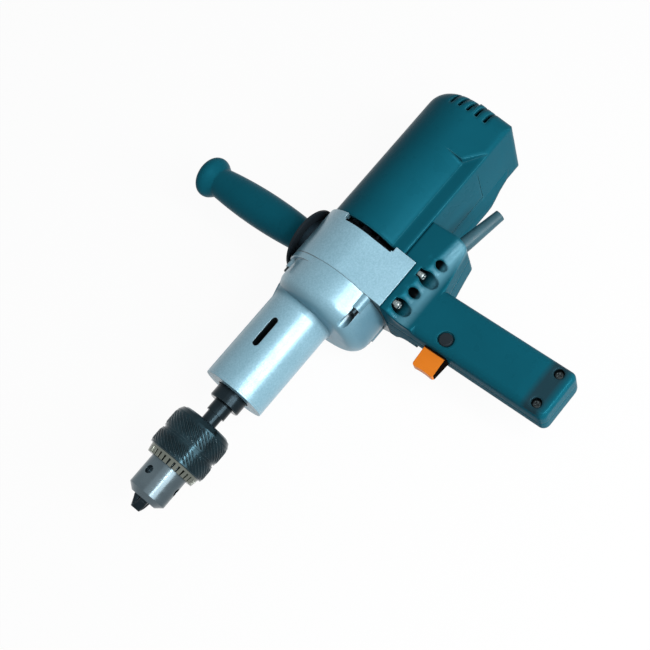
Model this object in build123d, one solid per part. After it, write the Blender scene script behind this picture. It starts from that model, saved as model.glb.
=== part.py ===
from build123d import *
import math
import os

# Heavy two-handed drill, millimetres. The spindle turns about the X axis and the chuck points to +X,
# the switch handle points to +Y and the side grip to -Y. The origin is the centre of the nose face.

# Fits
SEAT = 0.02  # radial gap of a piece held in its seat
RUN = 0.05  # radial gap of a turning shaft in its bearing
SLIDE = 0.3  # gap beside a sliding or turning piece
OVER = 1.0  # how far a cutting tool runs past a face

# Gear train: armature pinion, layshaft wheel, layshaft pinion, spindle wheel
FIRST_MODULE = 1.0
ARMATURE_TEETH = 9
LAYSHAFT_TEETH = 45
FIRST_SHIFT = 0.45
SECOND_MODULE = 1.5
LAY_PINION_TEETH = 11
SPINDLE_TEETH = 34
SECOND_SHIFT = 0.35
PRESSURE_ANGLE = math.radians(20)
ADDENDUM = 0.9
DEDENDUM = 1.25
BACKLASH = 0.12
FLANK_STEPS = 4
LAY_Y = SECOND_MODULE * (LAY_PINION_TEETH + SPINDLE_TEETH) / 2
MOTOR_Y = LAY_Y - FIRST_MODULE * (ARMATURE_TEETH + LAYSHAFT_TEETH) / 2

# Front gear case: nose barrel and gear bulge
NOSE_RADIUS = 30.0
NOSE_CHAMFER = 2.0
NOSE_BORE = 17.0
BEARING_SEAT_DEPTH = 22.0
CASE_RADIUS = 48.5
CASE_Y = 15.0
CASE_WALL = 5.0
CASE_FRONT_X = -94.0
CASE_ROUND = 15.0
NOSE_BLEND = 6.0
CHAMBER_FRONT_X = -112.0
SEAM_X = -131.0
SEAM_FLANGE = 6.0
SLOT_FRONT_X = -40.0
SLOT_REAR_X = -71.0
SLOT_WIDTH = 6.6

# Rear gear case
JOINT_X = -181.0
BODY_RADIUS = 46.0
BODY_WALL = 4.0
PAD_Y = MOTOR_Y + BODY_RADIUS + 13.25
PAD_HALF_HEIGHT = 27.0
WEB_REAR_X = -171.0
WEB_FRONT_X = -157.0
CHAMBER_RADIUS = 41.0
LAY_CHAMBER_RADIUS = 25.5
VENT_DEPTH = 5.2
VENT_Y_MIN = -6.0
VENT_Y_MAX = 46.0
GRIP_X = -153.4
GRIP_BOSS_RADIUS = 22.0
GRIP_BOSS_Y = MOTOR_Y - BODY_RADIUS - 0.75
GRIP_SEAT_RADIUS = 11.0
GRIP_SEAT_Y = GRIP_BOSS_Y + 14.0

# Bearing plate and bearings
PLATE_REAR_X = -142.0
PLATE_THICKNESS = 8.0
SHAFT_HOLE_RADIUS = 7.5
BUSH_RADIUS = 9.0
JOURNAL_RADIUS = 6.0
SPINDLE_BEARING_RADIUS = 23.5
SPINDLE_BEARING_WIDTH = 12.0
SEAL_WIDTH = 8.0
ARMATURE_BEARING_RADIUS = 16.0
ARMATURE_BEARING_WIDTH = 10.0
REAR_BEARING_RADIUS = 11.0
REAR_BEARING_WIDTH = 7.0
LAY_BEARING_RADIUS = 8.0
LAY_BEARING_WIDTH = 6.0
LAY_RADIUS = 5.0
SHIELD_DEPTH = 0.8

# Motor housing
MOTOR_STEP = 2.5
MOTOR_RADIUS = BODY_RADIUS - MOTOR_STEP
MOTOR_BORE = MOTOR_RADIUS - BODY_WALL
MOTOR_REAR_X = -338.5
REAR_ROUND = 19.0
FLANK_REAR_ROUND = 15.0
SKIRT_REAR_ROUND = 12.0
CORNER_ROUND = 8.0
REAR_WALL = 5.0
WALL_Y = MOTOR_Y + BODY_RADIUS + 0.05
LEDGE_Z = BODY_RADIUS - 17.0
SHOULDER_Z = BODY_RADIUS - 15.0
SHOULDER_ROUND = 5.0
SKIRT_Z = 6.0 - BODY_RADIUS
SKIRT_ROUND = 8.0
LEDGE_BEND_X = -281.0
LEDGE_BEND_Y = WALL_Y - 13.8
LEDGE_TIP_X = -302.0
CAP_SEAM_X = -282.5
CAP_SEAM_WIDTH = 0.9
CAP_SEAM_DEPTH = 0.6
CAP_SEAM_TOP_Z = 18.0
FLANK_SEAM_Z = -18.0
VENT_COUNT = 5
VENT_PITCH = 9.0
VENT_FIRST_Y = -3.3
VENT_WIDTH = 3.4
VENT_REACH = 18.0
VENT_FLOOR_Z = 20.0
BOSS_LENGTH = 14.0

# Motor insides
CORE_FRONT_X = -216.0
CORE_LENGTH = 54.0
ROTOR_RADIUS = 22.0
AIR_GAP = 0.8
COIL_INNER = 26.0
COIL_OUTER = 36.0
COIL_REACH = 8.0
COIL_SPLIT = 0.6
POLE_HALF_WIDTH = 21.0
ROTOR_SLOTS = 12
ROTOR_SLOT_WIDTH = 3.0
ROTOR_SLOT_DEPTH = 8.0
WINDING_RADIUS = 20.0
WINDING_REACH = 9.0
ARMATURE_SHAFT_RADIUS = 6.0
REAR_JOURNAL_RADIUS = 4.0
COMMUTATOR_RADIUS = 14.0
COMMUTATOR_FRONT_X = -284.0
COMMUTATOR_LENGTH = 20.0
COMMUTATOR_BARS = 24
BAR_SLIT = 0.6
BAR_DEPTH = 1.5
FAN_FRONT_X = -174.0
FAN_WIDTH = 13.0
FAN_RADIUS = 32.0
FAN_DISC = 2.0
FAN_BLADES = 12
FAN_BLADE_THICKNESS = 1.8
FAN_HUB_RADIUS = 11.0
BRUSH_WIDTH = 9.0
BRUSH_HEIGHT = 6.0
BRUSH_GAP = 0.3
BRUSH_LENGTH = 14.0
BRUSH_SPRING_RADIUS = 2.2
HOLDER_WALL = 1.2
HOLDER_INNER = 17.0

# Gears along the shafts
PINION_FRONT_X = -145.0
PINION_LENGTH = 11.0
WHEEL_LENGTH = 10.0
LAY_PINION_REAR_X = -133.0
LAY_PINION_LENGTH = 17.0
SPINDLE_WHEEL_REAR_X = -131.5
SPINDLE_WHEEL_LENGTH = 13.5
WHEEL_SEAT_RADIUS = 11.0

# Spindle and arbor
SPINDLE_RADIUS = 15.0
SPINDLE_CHAMFER = 1.0
SPINDLE_FACE_X = 13.0
SOCKET_MOUTH_RADIUS = 8.9
SOCKET_END_RADIUS = 7.25
SOCKET_END_X = -51.0
TANG_END_X = -62.0
TANG_THICKNESS = 6.2
NECK_RADIUS = 9.2
NECK_STEP_X = 24.0
NECK_SMALL_RADIUS = 7.4
ARBOR_TIP_X = 56.0
ARBOR_TIP_RADIUS = 6.8

# Keyed chuck
CHUCK_REAR_X = 34.5
CHUCK_BODY_RADIUS = 24.5
CHUCK_REAR_CHAMFER = 2.0
SLEEVE_RADIUS = CHUCK_BODY_RADIUS + 3.1
SLEEVE_REAR_X = 36.0
SLEEVE_REAR_EDGE = 0.8
SLEEVE_REAR_CHAMFER = 4.0
SLEEVE_FRONT_X = 76.0
SLEEVE_GROOVE_X = 58.0
SLEEVE_GROOVE_WIDTH = 2.4
SLEEVE_GROOVE_DEPTH = 1.2
RING_RADIUS = CHUCK_BODY_RADIUS + 1.1
RING_FRONT_X = 84.0
RING_LIP = 2.5
RING_TEETH = 30
RING_TOOTH_DEPTH = 3.4
RING_TOOTH_LENGTH = 5.5
RING_GAP_ANGLE = 7.0
NUT_REAR_X = 70.0
NUT_STEP_X = 77.5
NUT_NOSE_RADIUS = CHUCK_BODY_RADIUS - 3.5
NUT_FLOOR_RADIUS = 13.0
CHUCK_NOSE_RADIUS = CHUCK_BODY_RADIUS - 5.9
CHUCK_CHAMFER_X = 113.0
CHUCK_FRONT_X = 118.0
CHUCK_FRONT_RADIUS = 12.5
CHUCK_BORE_RADIUS = 7.0
KEY_HOLE_X = 96.0
KEY_HOLE_RADIUS = 3.9
KEY_HOLE_DEPTH = 5.0
KEY_HOLE_TURN = 14.0
JAW_COUNT = 3
JAW_RADIUS = 4.2
JAW_ANGLE = 13.0 * CHUCK_BODY_RADIUS / 24.5
JAW_TIP_X = 128.5
JAW_TIP_OFFSET = 2.2
JAW_LENGTH = 54.0
JAW_TRAVEL = 26.0
JAW_FACE_GAP = 0.2
JAW_BEVEL_X = 120.0
JAW_BEVEL_RADIUS = 8.0
JAW_TIP_RADIUS = 4.4

# Switch handle
SHELL_WALL = 3.0
BLOCK_REAR_X = -221.0
BLOCK_FRONT_X = -130.5
BLOCK_END_Y = PAD_Y + 32.5
BLOCK_REAR_Y = PAD_Y + 24.0
BLOCK_TOP_Y = PAD_Y + 9.0
BLOCK_FOOT_Y = PAD_Y + 17.5
BLOCK_SLANT = 5.5
BLOCK_ROOT_HEIGHT = 26.0
BLOCK_ROUND = 6.0
BLOCK_TOP_ROUND = 5.0
BLOCK_FOOT_ROUND = 18.0
GRIP_WIDTH = 48.5
GRIP_HALF_HEIGHT = 16.5
GRIP_END_Y = 235.0
GRIP_FALL_Y = 203.0
GRIP_END_HEIGHT = 14.8
GRIP_ROUND = 8.0
GRIP_END_ROUND = 6.0
FLANGE_WALL = 6.0
FIRST_HOLE_X = -192.5
HOLE_PITCH = 16.7
HOLE_COUNT = 4
HOLE_Z = 20.8
SCREW_POCKET_RADIUS = 6.6
SCREW_POCKET_END_Y = PAD_Y + 25.0
DEEP_POCKET_RADIUS = 4.3
DEEP_POCKET_END_Y = PAD_Y + 20.5
SCREW_HEAD_RADIUS = 4.2
SCREW_HEAD_HEIGHT = 3.4
SCREW_RADIUS = 2.2
MOUNT_SCREW_REACH = 12.0
END_SCREW_Y = 222.5
END_SCREW_SPREAD = 15.2
END_POCKET_DEPTH = 8.0
END_BOSS_RADIUS = 6.6
END_SCREW_LENGTH = 22.0

# Trigger, switch and lock button
TRIGGER_Y = 123.7
TRIGGER_WIDTH = 22.2
TRIGGER_FACE_X = -110.9
TRIGGER_HALF_HEIGHT = 6.5
TRIGGER_FACE_HEIGHT = 3.2
TRIGGER_TRAVEL = 7.0
TRIGGER_ROUND = 2.5
TRIGGER_DISH_RADIUS = 60.0
TRIGGER_DISH = 0.5
STOP_DEPTH = 7.0
STOP_LIP = 2.5
SWITCH_REAR_GAP = 2.6
SWITCH_Y_MIN = 110.0
SWITCH_Y_MAX = 158.0
LOCK_X = -141.5
LOCK_Y = 128.0
LOCK_RADIUS = 6.0
LOCK_RIM_RADIUS = 7.6
LOCK_RIM_DEPTH = 0.8
LOCK_PROUD = 1.2
LOCK_LIP = 1.0
LOCK_ROUND = 1.0

# Cord guard and clamp
GUARD_ROOT_X = -216.2
GUARD_ROOT_Y = PAD_Y + 9.4
GUARD_TURN = 168.6
GUARD_LENGTH = 53.0
GUARD_ROOT_RADIUS = 6.8
GUARD_TIP_RADIUS = 5.2
GUARD_BORE = 4.0
GUARD_FLANGE_RADIUS = 8.8
GUARD_FLANGE = 2.5
CLAMP_X = -203.0
CLAMP_WIDTH = 9.0
CLAMP_SPREAD = 9.5
CLAMP_THICKNESS = 4.0
CLAMP_POST_RADIUS = 4.5

# Side grip
DISC_RADIUS = 31.8
DISC_EDGE = 2.2
DISC_DEPTH = 9.0
DISC_HUB_RADIUS = 17.0
SIDE_ROOT_RADIUS = 15.2
SIDE_BULGE_RADIUS = 18.0
SIDE_BULGE_AT = 54.0
SIDE_WAIST_RADIUS = 14.8
SIDE_END_RADIUS = 20.0
SIDE_LENGTH = 128.0
SIDE_END_LENGTH = 20.0
STUD_RADIUS = 6.0
STUD_DEPTH = 11.0
STUD_IN_GRIP = 26.0

# Case screws
LONG_SCREW_CIRCLE = BODY_RADIUS - 7.0
LONG_SCREW_ANGLE = 150.0
LONG_SCREW_REAR_X = -203.0
SHORT_SCREW_INSET = 2.7
SHORT_SCREW_ANGLE = 38.0
SHORT_SCREW_REAR_X = -150.0
CASE_SCREW_RADIUS = 2.5
CASE_HEAD_RADIUS = 4.2
CASE_HEAD_HEIGHT = 4.0
CASE_BOSS_RADIUS = 5.5
CASE_SCREW_SEAT_X = -116.0


# Shorthand solids
def cyl_x(radius, x_min, x_max, y=0.0, z=0.0):
    return Pos((x_min + x_max) / 2, y, z) * Rot(0, 90, 0) * Cylinder(radius, x_max - x_min)


def cyl_y(radius, y_min, y_max, x=0.0, z=0.0):
    return Pos(x, (y_min + y_max) / 2, z) * Rot(90, 0, 0) * Cylinder(radius, y_max - y_min)


def cyl_z(radius, z_min, z_max, x=0.0, y=0.0):
    return Pos(x, y, (z_min + z_max) / 2) * Cylinder(radius, z_max - z_min)


def block(x_min, x_max, y_min, y_max, z_min, z_max):
    centre = Pos((x_min + x_max) / 2, (y_min + y_max) / 2, (z_min + z_max) / 2)
    return centre * Box(x_max - x_min, y_max - y_min, z_max - z_min)


def ring_x(outer, inner, x_min, x_max, y=0.0):
    return cyl_x(outer, x_min, x_max, y) - cyl_x(inner, x_min - OVER, x_max + OVER, y)


def turned(points, y=0.0):
    """Solid of revolution about the line along X at y, from (x, radius) points."""
    return Pos(0, y, 0) * revolve(make_face(Polyline(*points, close=True)), Axis.X)


def prism_x(face, x_min, x_max):
    """A face drawn in (y, z), carried along X."""
    return extrude(Plane.YZ.offset(x_min) * face, x_max - x_min, dir=(1, 0, 0))


def about_x(solid, angle, y=0.0):
    """Turns a solid about the line along X at y; positive goes from +Y to +Z."""
    return Pos(0, y, 0) * Rot(angle, 0, 0) * Pos(0, -y, 0) * solid


# Gears and bearings
def involute(angle):
    return math.tan(angle) - angle


def gear_face(module, teeth, shift, tooth_at):
    """Involute spur gear outline; tooth_at is the angle in degrees of the middle of one tooth."""
    pitch_radius = module * teeth / 2
    base_radius = pitch_radius * math.cos(PRESSURE_ANGLE)
    tip_radius = pitch_radius + module * (ADDENDUM + shift)
    root_radius = pitch_radius - module * (DEDENDUM - shift)
    thickness = module * (math.pi / 2 + 2 * shift * math.tan(PRESSURE_ANGLE)) - BACKLASH / 2
    pitch_half = thickness / (2 * pitch_radius)
    start = max(base_radius, root_radius)
    flank = []
    for step in range(FLANK_STEPS + 1):
        radius = start + (tip_radius - start) * step / FLANK_STEPS
        pressure = math.acos(min(1.0, base_radius / radius))
        flank.append((radius, pitch_half + involute(PRESSURE_ANGLE) - involute(pressure)))
    if root_radius < base_radius:
        flank.insert(0, (root_radius, flank[0][1]))
    points = []
    for tooth in range(teeth):
        middle = math.radians(tooth_at) + 2 * math.pi * tooth / teeth
        rising = [(radius, middle - half) for radius, half in flank]
        falling = [(radius, middle + half) for radius, half in reversed(flank)]
        for radius, angle in rising + falling:
            points.append((radius * math.cos(angle), radius * math.sin(angle)))
    return make_face(Polyline(*points, close=True))


def gear(module, teeth, shift, tooth_at, x_min, length, y):
    return prism_x(Pos(y, 0) * gear_face(module, teeth, shift, tooth_at), x_min, x_min + length)


def bearing(outer, inner, x_min, width, y=0.0):
    """Ball bearing as one ring with its shields set back."""
    margin = (outer - inner) / 4
    ring = ring_x(outer - SEAT, inner, x_min, x_min + width, y)
    for side in (x_min, x_min + width):
        ring -= ring_x(outer - margin, inner + margin, side - SHIELD_DEPTH, side + SHIELD_DEPTH, y)
    return ring


# Case screws
def long_screw_places():
    reach = math.radians(LONG_SCREW_ANGLE)
    y = MOTOR_Y + LONG_SCREW_CIRCLE * math.cos(reach)
    z = LONG_SCREW_CIRCLE * math.sin(reach)
    return [(y, z), (y, -z)]


def short_screw_places():
    reach = math.radians(SHORT_SCREW_ANGLE)
    y = CASE_Y + (CASE_RADIUS - SHORT_SCREW_INSET) * math.cos(reach)
    z = (CASE_RADIUS - SHORT_SCREW_INSET) * math.sin(reach)
    return [(y, z), (y, -z)]


def at_places(places, radius, x_min, x_max):
    columns = Part()
    for y, z in places:
        columns += cyl_x(radius, x_min, x_max, y, z)
    return columns


def make_case_screws(places, rear_x):
    screws = at_places(places, CASE_SCREW_RADIUS, rear_x, CASE_SCREW_SEAT_X)
    screws += at_places(places, CASE_HEAD_RADIUS, CASE_SCREW_SEAT_X, CASE_SCREW_SEAT_X + CASE_HEAD_HEIGHT)
    return screws


# Castings
def make_front_gear_case():
    places = long_screw_places() + short_screw_places()
    dome = cyl_x(CASE_RADIUS, SEAM_X, CASE_FRONT_X, CASE_Y)
    dome = fillet(dome.edges().sort_by(Axis.X)[-1], CASE_ROUND)
    barrel = cyl_x(NOSE_RADIUS, SEAM_X, 0)
    barrel = chamfer(barrel.edges().sort_by(Axis.X)[-1], NOSE_CHAMFER)
    case = dome + barrel
    case += turned(
        [
            (CASE_FRONT_X - CASE_ROUND, 0),
            (CASE_FRONT_X + NOSE_BLEND, 0),
            (CASE_FRONT_X + NOSE_BLEND, NOSE_RADIUS),
            (CASE_FRONT_X - NOSE_BLEND, NOSE_RADIUS + NOSE_BLEND / 2),
            (CASE_FRONT_X - CASE_ROUND, NOSE_RADIUS + NOSE_BLEND / 2),
        ]
    )
    case += cyl_x(BODY_RADIUS, SEAM_X, SEAM_X + SEAM_FLANGE, MOTOR_Y)
    bosses = at_places(places, CASE_BOSS_RADIUS, SEAM_X, CASE_SCREW_SEAT_X)
    case += bosses
    case -= cyl_x(CASE_RADIUS - CASE_WALL, SEAM_X - OVER, CHAMBER_FRONT_X, CASE_Y) - bosses
    case -= at_places(places, CASE_HEAD_RADIUS + SEAT, CASE_SCREW_SEAT_X, 0)
    case -= at_places(places, CASE_SCREW_RADIUS + SEAT, SEAM_X - OVER, CASE_SCREW_SEAT_X + OVER)
    case -= cyl_x(NOSE_BORE, SEAM_X, OVER)
    case -= cyl_x(SPINDLE_BEARING_RADIUS, -BEARING_SEAT_DEPTH, OVER)
    case -= cyl_x(LAY_BEARING_RADIUS, SEAM_X, CHAMBER_FRONT_X + LAY_BEARING_WIDTH, LAY_Y)
    return case - drift_slot(SLOT_WIDTH)


def drift_slot(width):
    """Slot straight through the nose for the wedge that drives out the arbor."""
    reach = NOSE_RADIUS + OVER
    rear = SLOT_REAR_X + SLOT_WIDTH / 2
    front = SLOT_FRONT_X - SLOT_WIDTH / 2
    slot = block(rear, front, -width / 2, width / 2, -reach, reach)
    for end in (rear, front):
        slot += cyl_z(width / 2, -reach, reach, end)
    return slot


def gear_chamber(gap):
    chamber = Pos(MOTOR_Y, 0) * Circle(CHAMBER_RADIUS - gap)
    return chamber + Pos(LAY_Y, 0) * Circle(LAY_CHAMBER_RADIUS - gap)


def tangent_point(radius, y, z):
    """Where a line from (y, z) touches a round body on the motor's line from above."""
    reach = math.hypot(y - MOTOR_Y, z)
    angle = math.atan2(z, y - MOTOR_Y) + math.acos(radius / reach)
    return MOTOR_Y + radius * math.cos(angle), radius * math.sin(angle)


def rear_case_section():
    """Round casing whose top and bottom slope to the flat face under the switch handle."""
    rise_y, rise_z = tangent_point(BODY_RADIUS, PAD_Y, PAD_HALF_HEIGHT)
    wedge = Polygon(
        (rise_y, rise_z),
        (rise_y, -rise_z),
        (PAD_Y, -PAD_HALF_HEIGHT),
        (PAD_Y, PAD_HALF_HEIGHT),
        align=None,
    )
    return Pos(MOTOR_Y, 0) * Circle(BODY_RADIUS) + wedge


def make_rear_gear_case():
    long_columns = at_places(long_screw_places(), CASE_BOSS_RADIUS, JOINT_X, SEAM_X)
    case = prism_x(rear_case_section(), JOINT_X, SEAM_X)
    case += cyl_y(GRIP_BOSS_RADIUS, GRIP_BOSS_Y, MOTOR_Y - CHAMBER_RADIUS / 2, GRIP_X)
    cavity = cyl_x(MOTOR_BORE, JOINT_X - OVER, WEB_REAR_X, MOTOR_Y)
    cavity += prism_x(gear_chamber(0), WEB_FRONT_X, SEAM_X + OVER)
    case -= cavity - long_columns - cyl_y(GRIP_SEAT_RADIUS, GRIP_BOSS_Y, GRIP_SEAT_Y, GRIP_X)
    hole = CASE_SCREW_RADIUS + SEAT
    case -= at_places(long_screw_places(), hole, JOINT_X - OVER, SEAM_X + OVER)
    case -= at_places(short_screw_places(), hole, SHORT_SCREW_REAR_X - OVER, SEAM_X + OVER)
    case -= cyl_x(ARMATURE_BEARING_RADIUS, WEB_REAR_X - OVER, WEB_REAR_X + ARMATURE_BEARING_WIDTH, MOTOR_Y)
    case -= cyl_x(SHAFT_HOLE_RADIUS, WEB_REAR_X, WEB_FRONT_X + OVER, MOTOR_Y)
    case -= cyl_x(LAY_BEARING_RADIUS, WEB_FRONT_X - LAY_BEARING_WIDTH, WEB_FRONT_X + OVER, LAY_Y)
    case -= cyl_y(STUD_RADIUS + SEAT, GRIP_BOSS_Y - OVER, GRIP_BOSS_Y + STUD_DEPTH, GRIP_X)
    reach = BODY_RADIUS + OVER
    for low, high in ((0, reach), (-reach, 0)):
        case -= block(JOINT_X - OVER, JOINT_X + VENT_DEPTH, VENT_Y_MIN, VENT_Y_MAX, low, high)
    for x in mount_screw_xs():
        for side in (1, -1):
            depth = PAD_Y - MOUNT_SCREW_REACH
            case -= cyl_y(SCREW_RADIUS + SEAT, depth, PAD_Y + OVER, x, side * HOLE_Z)
    return case


def make_bearing_plate():
    plate = prism_x(gear_chamber(SEAT), PLATE_REAR_X, PLATE_REAR_X + PLATE_THICKNESS)
    plate -= at_places(long_screw_places(), CASE_BOSS_RADIUS + SEAT, PLATE_REAR_X - OVER, SEAM_X)
    plate -= cyl_x(BUSH_RADIUS, PLATE_REAR_X - OVER, SEAM_X)
    return plate - cyl_x(SHAFT_HOLE_RADIUS, PLATE_REAR_X - OVER, SEAM_X, LAY_Y)


# Motor housing
def corner_tool(radius):
    """What a round takes off a square corner at zero, drawn into the first quadrant."""
    square = Polygon((-OVER, -OVER), (radius, -OVER), (radius, radius), (-OVER, radius), align=None)
    return square - Pos(radius, radius) * Circle(radius)


def make_motor_flank():
    """Flat side that carries the switch handle, rounded where it meets the rear face."""
    rise_y, rise_z = tangent_point(MOTOR_RADIUS, WALL_Y, SHOULDER_Z)
    side = Polygon(
        (MOTOR_Y, 0),
        (MOTOR_Y, SKIRT_Z),
        (WALL_Y, SKIRT_Z),
        (WALL_Y, SHOULDER_Z),
        (rise_y, rise_z),
        align=None,
    )
    side = fillet(side.vertices().group_by(Axis.X)[-1].sort_by(Axis.Y)[-1], SHOULDER_ROUND)
    side = fillet(side.vertices().group_by(Axis.Y)[0].sort_by(Axis.X)[-1], SKIRT_ROUND)
    flank = prism_x(side, MOTOR_REAR_X, JOINT_X)
    fall = (0, WALL_Y - rise_y, SHOULDER_Z - rise_z)
    top = Plane(origin=(MOTOR_REAR_X, rise_y, rise_z), x_dir=(1, 0, 0), z_dir=fall)
    flank -= extrude(top * corner_tool(FLANK_REAR_ROUND), BODY_RADIUS)
    bottom = Plane(origin=(MOTOR_REAR_X, WALL_Y, SKIRT_Z), x_dir=(1, 0, 0), z_dir=(0, -1, 0))
    flank -= extrude(bottom * corner_tool(SKIRT_REAR_ROUND), WALL_Y - MOTOR_Y + OVER)
    corner = Plane(origin=(MOTOR_REAR_X, WALL_Y, BODY_RADIUS), x_dir=(1, 0, 0), z_dir=(0, 0, -1))
    return flank - extrude(corner * corner_tool(CORNER_ROUND), 2 * BODY_RADIUS)


def make_motor_housing():
    barrel = cyl_x(MOTOR_RADIUS, MOTOR_REAR_X, JOINT_X, MOTOR_Y)
    housing = fillet(barrel.edges().sort_by(Axis.X)[0], REAR_ROUND) + make_motor_flank()
    ledge_plan = Polygon(
        (JOINT_X + OVER, MOTOR_Y),
        (LEDGE_BEND_X, MOTOR_Y),
        (LEDGE_BEND_X, LEDGE_BEND_Y),
        (LEDGE_TIP_X, WALL_Y + OVER),
        (JOINT_X + OVER, WALL_Y + OVER),
        align=None,
    )
    ledge = extrude(Pos(0, 0, LEDGE_Z) * ledge_plan, BODY_RADIUS, dir=(0, 0, 1))
    housing -= ledge - cyl_x(MOTOR_RADIUS, MOTOR_REAR_X, JOINT_X + 2 * OVER, MOTOR_Y)
    housing -= block(
        CAP_SEAM_X - CAP_SEAM_WIDTH / 2,
        CAP_SEAM_X + CAP_SEAM_WIDTH / 2,
        WALL_Y - CAP_SEAM_DEPTH,
        WALL_Y + OVER,
        SKIRT_Z + SKIRT_ROUND,
        CAP_SEAM_TOP_Z,
    )
    housing -= block(
        CAP_SEAM_X,
        BLOCK_REAR_X,
        WALL_Y - CAP_SEAM_DEPTH,
        WALL_Y + OVER,
        FLANK_SEAM_Z - CAP_SEAM_WIDTH / 2,
        FLANK_SEAM_Z + CAP_SEAM_WIDTH / 2,
    )
    columns = at_places(long_screw_places(), CASE_BOSS_RADIUS, LONG_SCREW_REAR_X - OVER, JOINT_X)
    bore = cyl_x(MOTOR_BORE, MOTOR_REAR_X + REAR_WALL, JOINT_X + OVER, MOTOR_Y)
    bore = fillet(bore.edges().sort_by(Axis.X)[0], REAR_ROUND - BODY_WALL)
    boss_x = MOTOR_REAR_X + REAR_WALL + BOSS_LENGTH
    boss = cyl_x(REAR_BEARING_RADIUS + BODY_WALL, MOTOR_REAR_X + REAR_WALL, boss_x, MOTOR_Y)
    housing -= bore - columns - boss
    housing -= at_places(long_screw_places(), CASE_SCREW_RADIUS + SEAT, LONG_SCREW_REAR_X, JOINT_X + OVER)
    housing -= cyl_x(REAR_BEARING_RADIUS, boss_x - REAR_BEARING_WIDTH, boss_x + OVER, MOTOR_Y)
    housing -= cyl_x(REAR_JOURNAL_RADIUS + SLIDE, MOTOR_REAR_X + REAR_WALL, boss_x, MOTOR_Y)
    for index in range(VENT_COUNT):
        y = VENT_FIRST_Y + index * VENT_PITCH
        for low, high in ((VENT_FLOOR_Z, BODY_RADIUS), (-BODY_RADIUS, -VENT_FLOOR_Z)):
            housing -= block(
                MOTOR_REAR_X - OVER,
                MOTOR_REAR_X + VENT_REACH,
                y - VENT_WIDTH / 2,
                y + VENT_WIDTH / 2,
                low,
                high,
            )
    return housing


# Motor insides
def coil_space(gap):
    """Room of both field coils about the rotor, grown by a gap."""
    x_min = CORE_FRONT_X - CORE_LENGTH - COIL_REACH
    x_max = CORE_FRONT_X + COIL_REACH
    pole = POLE_HALF_WIDTH - gap
    space = ring_x(COIL_OUTER + gap, COIL_INNER - gap, x_min, x_max, MOTOR_Y)
    core_x = CORE_FRONT_X - CORE_LENGTH - gap
    reach = COIL_OUTER + OVER
    return space - block(core_x, CORE_FRONT_X + gap, MOTOR_Y - pole, MOTOR_Y + pole, -reach, reach)


def make_stator_core():
    rear = CORE_FRONT_X - CORE_LENGTH
    core = ring_x(MOTOR_BORE - SEAT, ROTOR_RADIUS + AIR_GAP, rear, CORE_FRONT_X, MOTOR_Y)
    return core - coil_space(SEAT)


def make_field_coils():
    reach = MOTOR_BORE
    seam = block(MOTOR_REAR_X, JOINT_X, MOTOR_Y - reach, MOTOR_Y + reach, -COIL_SPLIT / 2, COIL_SPLIT / 2)
    return coil_space(0) - seam


def make_armature_core():
    core = ring_x(ROTOR_RADIUS, ARMATURE_SHAFT_RADIUS, CORE_FRONT_X - CORE_LENGTH, CORE_FRONT_X, MOTOR_Y)
    for index in range(ROTOR_SLOTS):
        slot = block(
            CORE_FRONT_X - CORE_LENGTH - OVER,
            CORE_FRONT_X + OVER,
            MOTOR_Y + ROTOR_RADIUS - ROTOR_SLOT_DEPTH,
            MOTOR_Y + ROTOR_RADIUS + OVER,
            -ROTOR_SLOT_WIDTH / 2,
            ROTOR_SLOT_WIDTH / 2,
        )
        core -= about_x(slot, index * 360 / ROTOR_SLOTS, MOTOR_Y)
    return core


def make_armature_winding():
    """End turns at both ends of the core, joined by the bars that lie in its slots."""
    rear = CORE_FRONT_X - CORE_LENGTH
    winding = Part()
    for start, outward in ((CORE_FRONT_X, 1), (rear, -1)):
        winding += turned(
            [
                (start, ARMATURE_SHAFT_RADIUS),
                (start, WINDING_RADIUS),
                (start + outward * WINDING_REACH / 2, WINDING_RADIUS),
                (start + outward * WINDING_REACH, COMMUTATOR_RADIUS),
                (start + outward * WINDING_REACH, ARMATURE_SHAFT_RADIUS),
            ],
            MOTOR_Y,
        )
    for index in range(ROTOR_SLOTS):
        bar = block(
            rear,
            CORE_FRONT_X,
            MOTOR_Y + ROTOR_RADIUS - ROTOR_SLOT_DEPTH,
            MOTOR_Y + WINDING_RADIUS,
            -ROTOR_SLOT_WIDTH / 2,
            ROTOR_SLOT_WIDTH / 2,
        )
        winding += about_x(bar, index * 360 / ROTOR_SLOTS, MOTOR_Y)
    return winding


def make_commutator():
    rear = COMMUTATOR_FRONT_X - COMMUTATOR_LENGTH
    drum = ring_x(COMMUTATOR_RADIUS, ARMATURE_SHAFT_RADIUS, rear, COMMUTATOR_FRONT_X, MOTOR_Y)
    for index in range(COMMUTATOR_BARS):
        slit = block(
            rear - OVER,
            COMMUTATOR_FRONT_X + OVER,
            MOTOR_Y + COMMUTATOR_RADIUS - BAR_DEPTH,
            MOTOR_Y + COMMUTATOR_RADIUS + OVER,
            -BAR_SLIT / 2,
            BAR_SLIT / 2,
        )
        drum -= about_x(slit, index * 360 / COMMUTATOR_BARS, MOTOR_Y)
    return drum


def make_armature_shaft():
    journal_x = MOTOR_REAR_X + REAR_WALL + BOSS_LENGTH
    pinion_x = PINION_FRONT_X - PINION_LENGTH
    shoulder_x = journal_x + SLIDE
    shaft = cyl_x(ARMATURE_SHAFT_RADIUS - RUN, shoulder_x, pinion_x, MOTOR_Y)
    shaft += cyl_x(REAR_JOURNAL_RADIUS - RUN, journal_x - BOSS_LENGTH + OVER, shoulder_x, MOTOR_Y)
    shaft += gear(FIRST_MODULE, ARMATURE_TEETH, FIRST_SHIFT, 0, pinion_x, PINION_LENGTH, MOTOR_Y)
    return shaft


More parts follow.
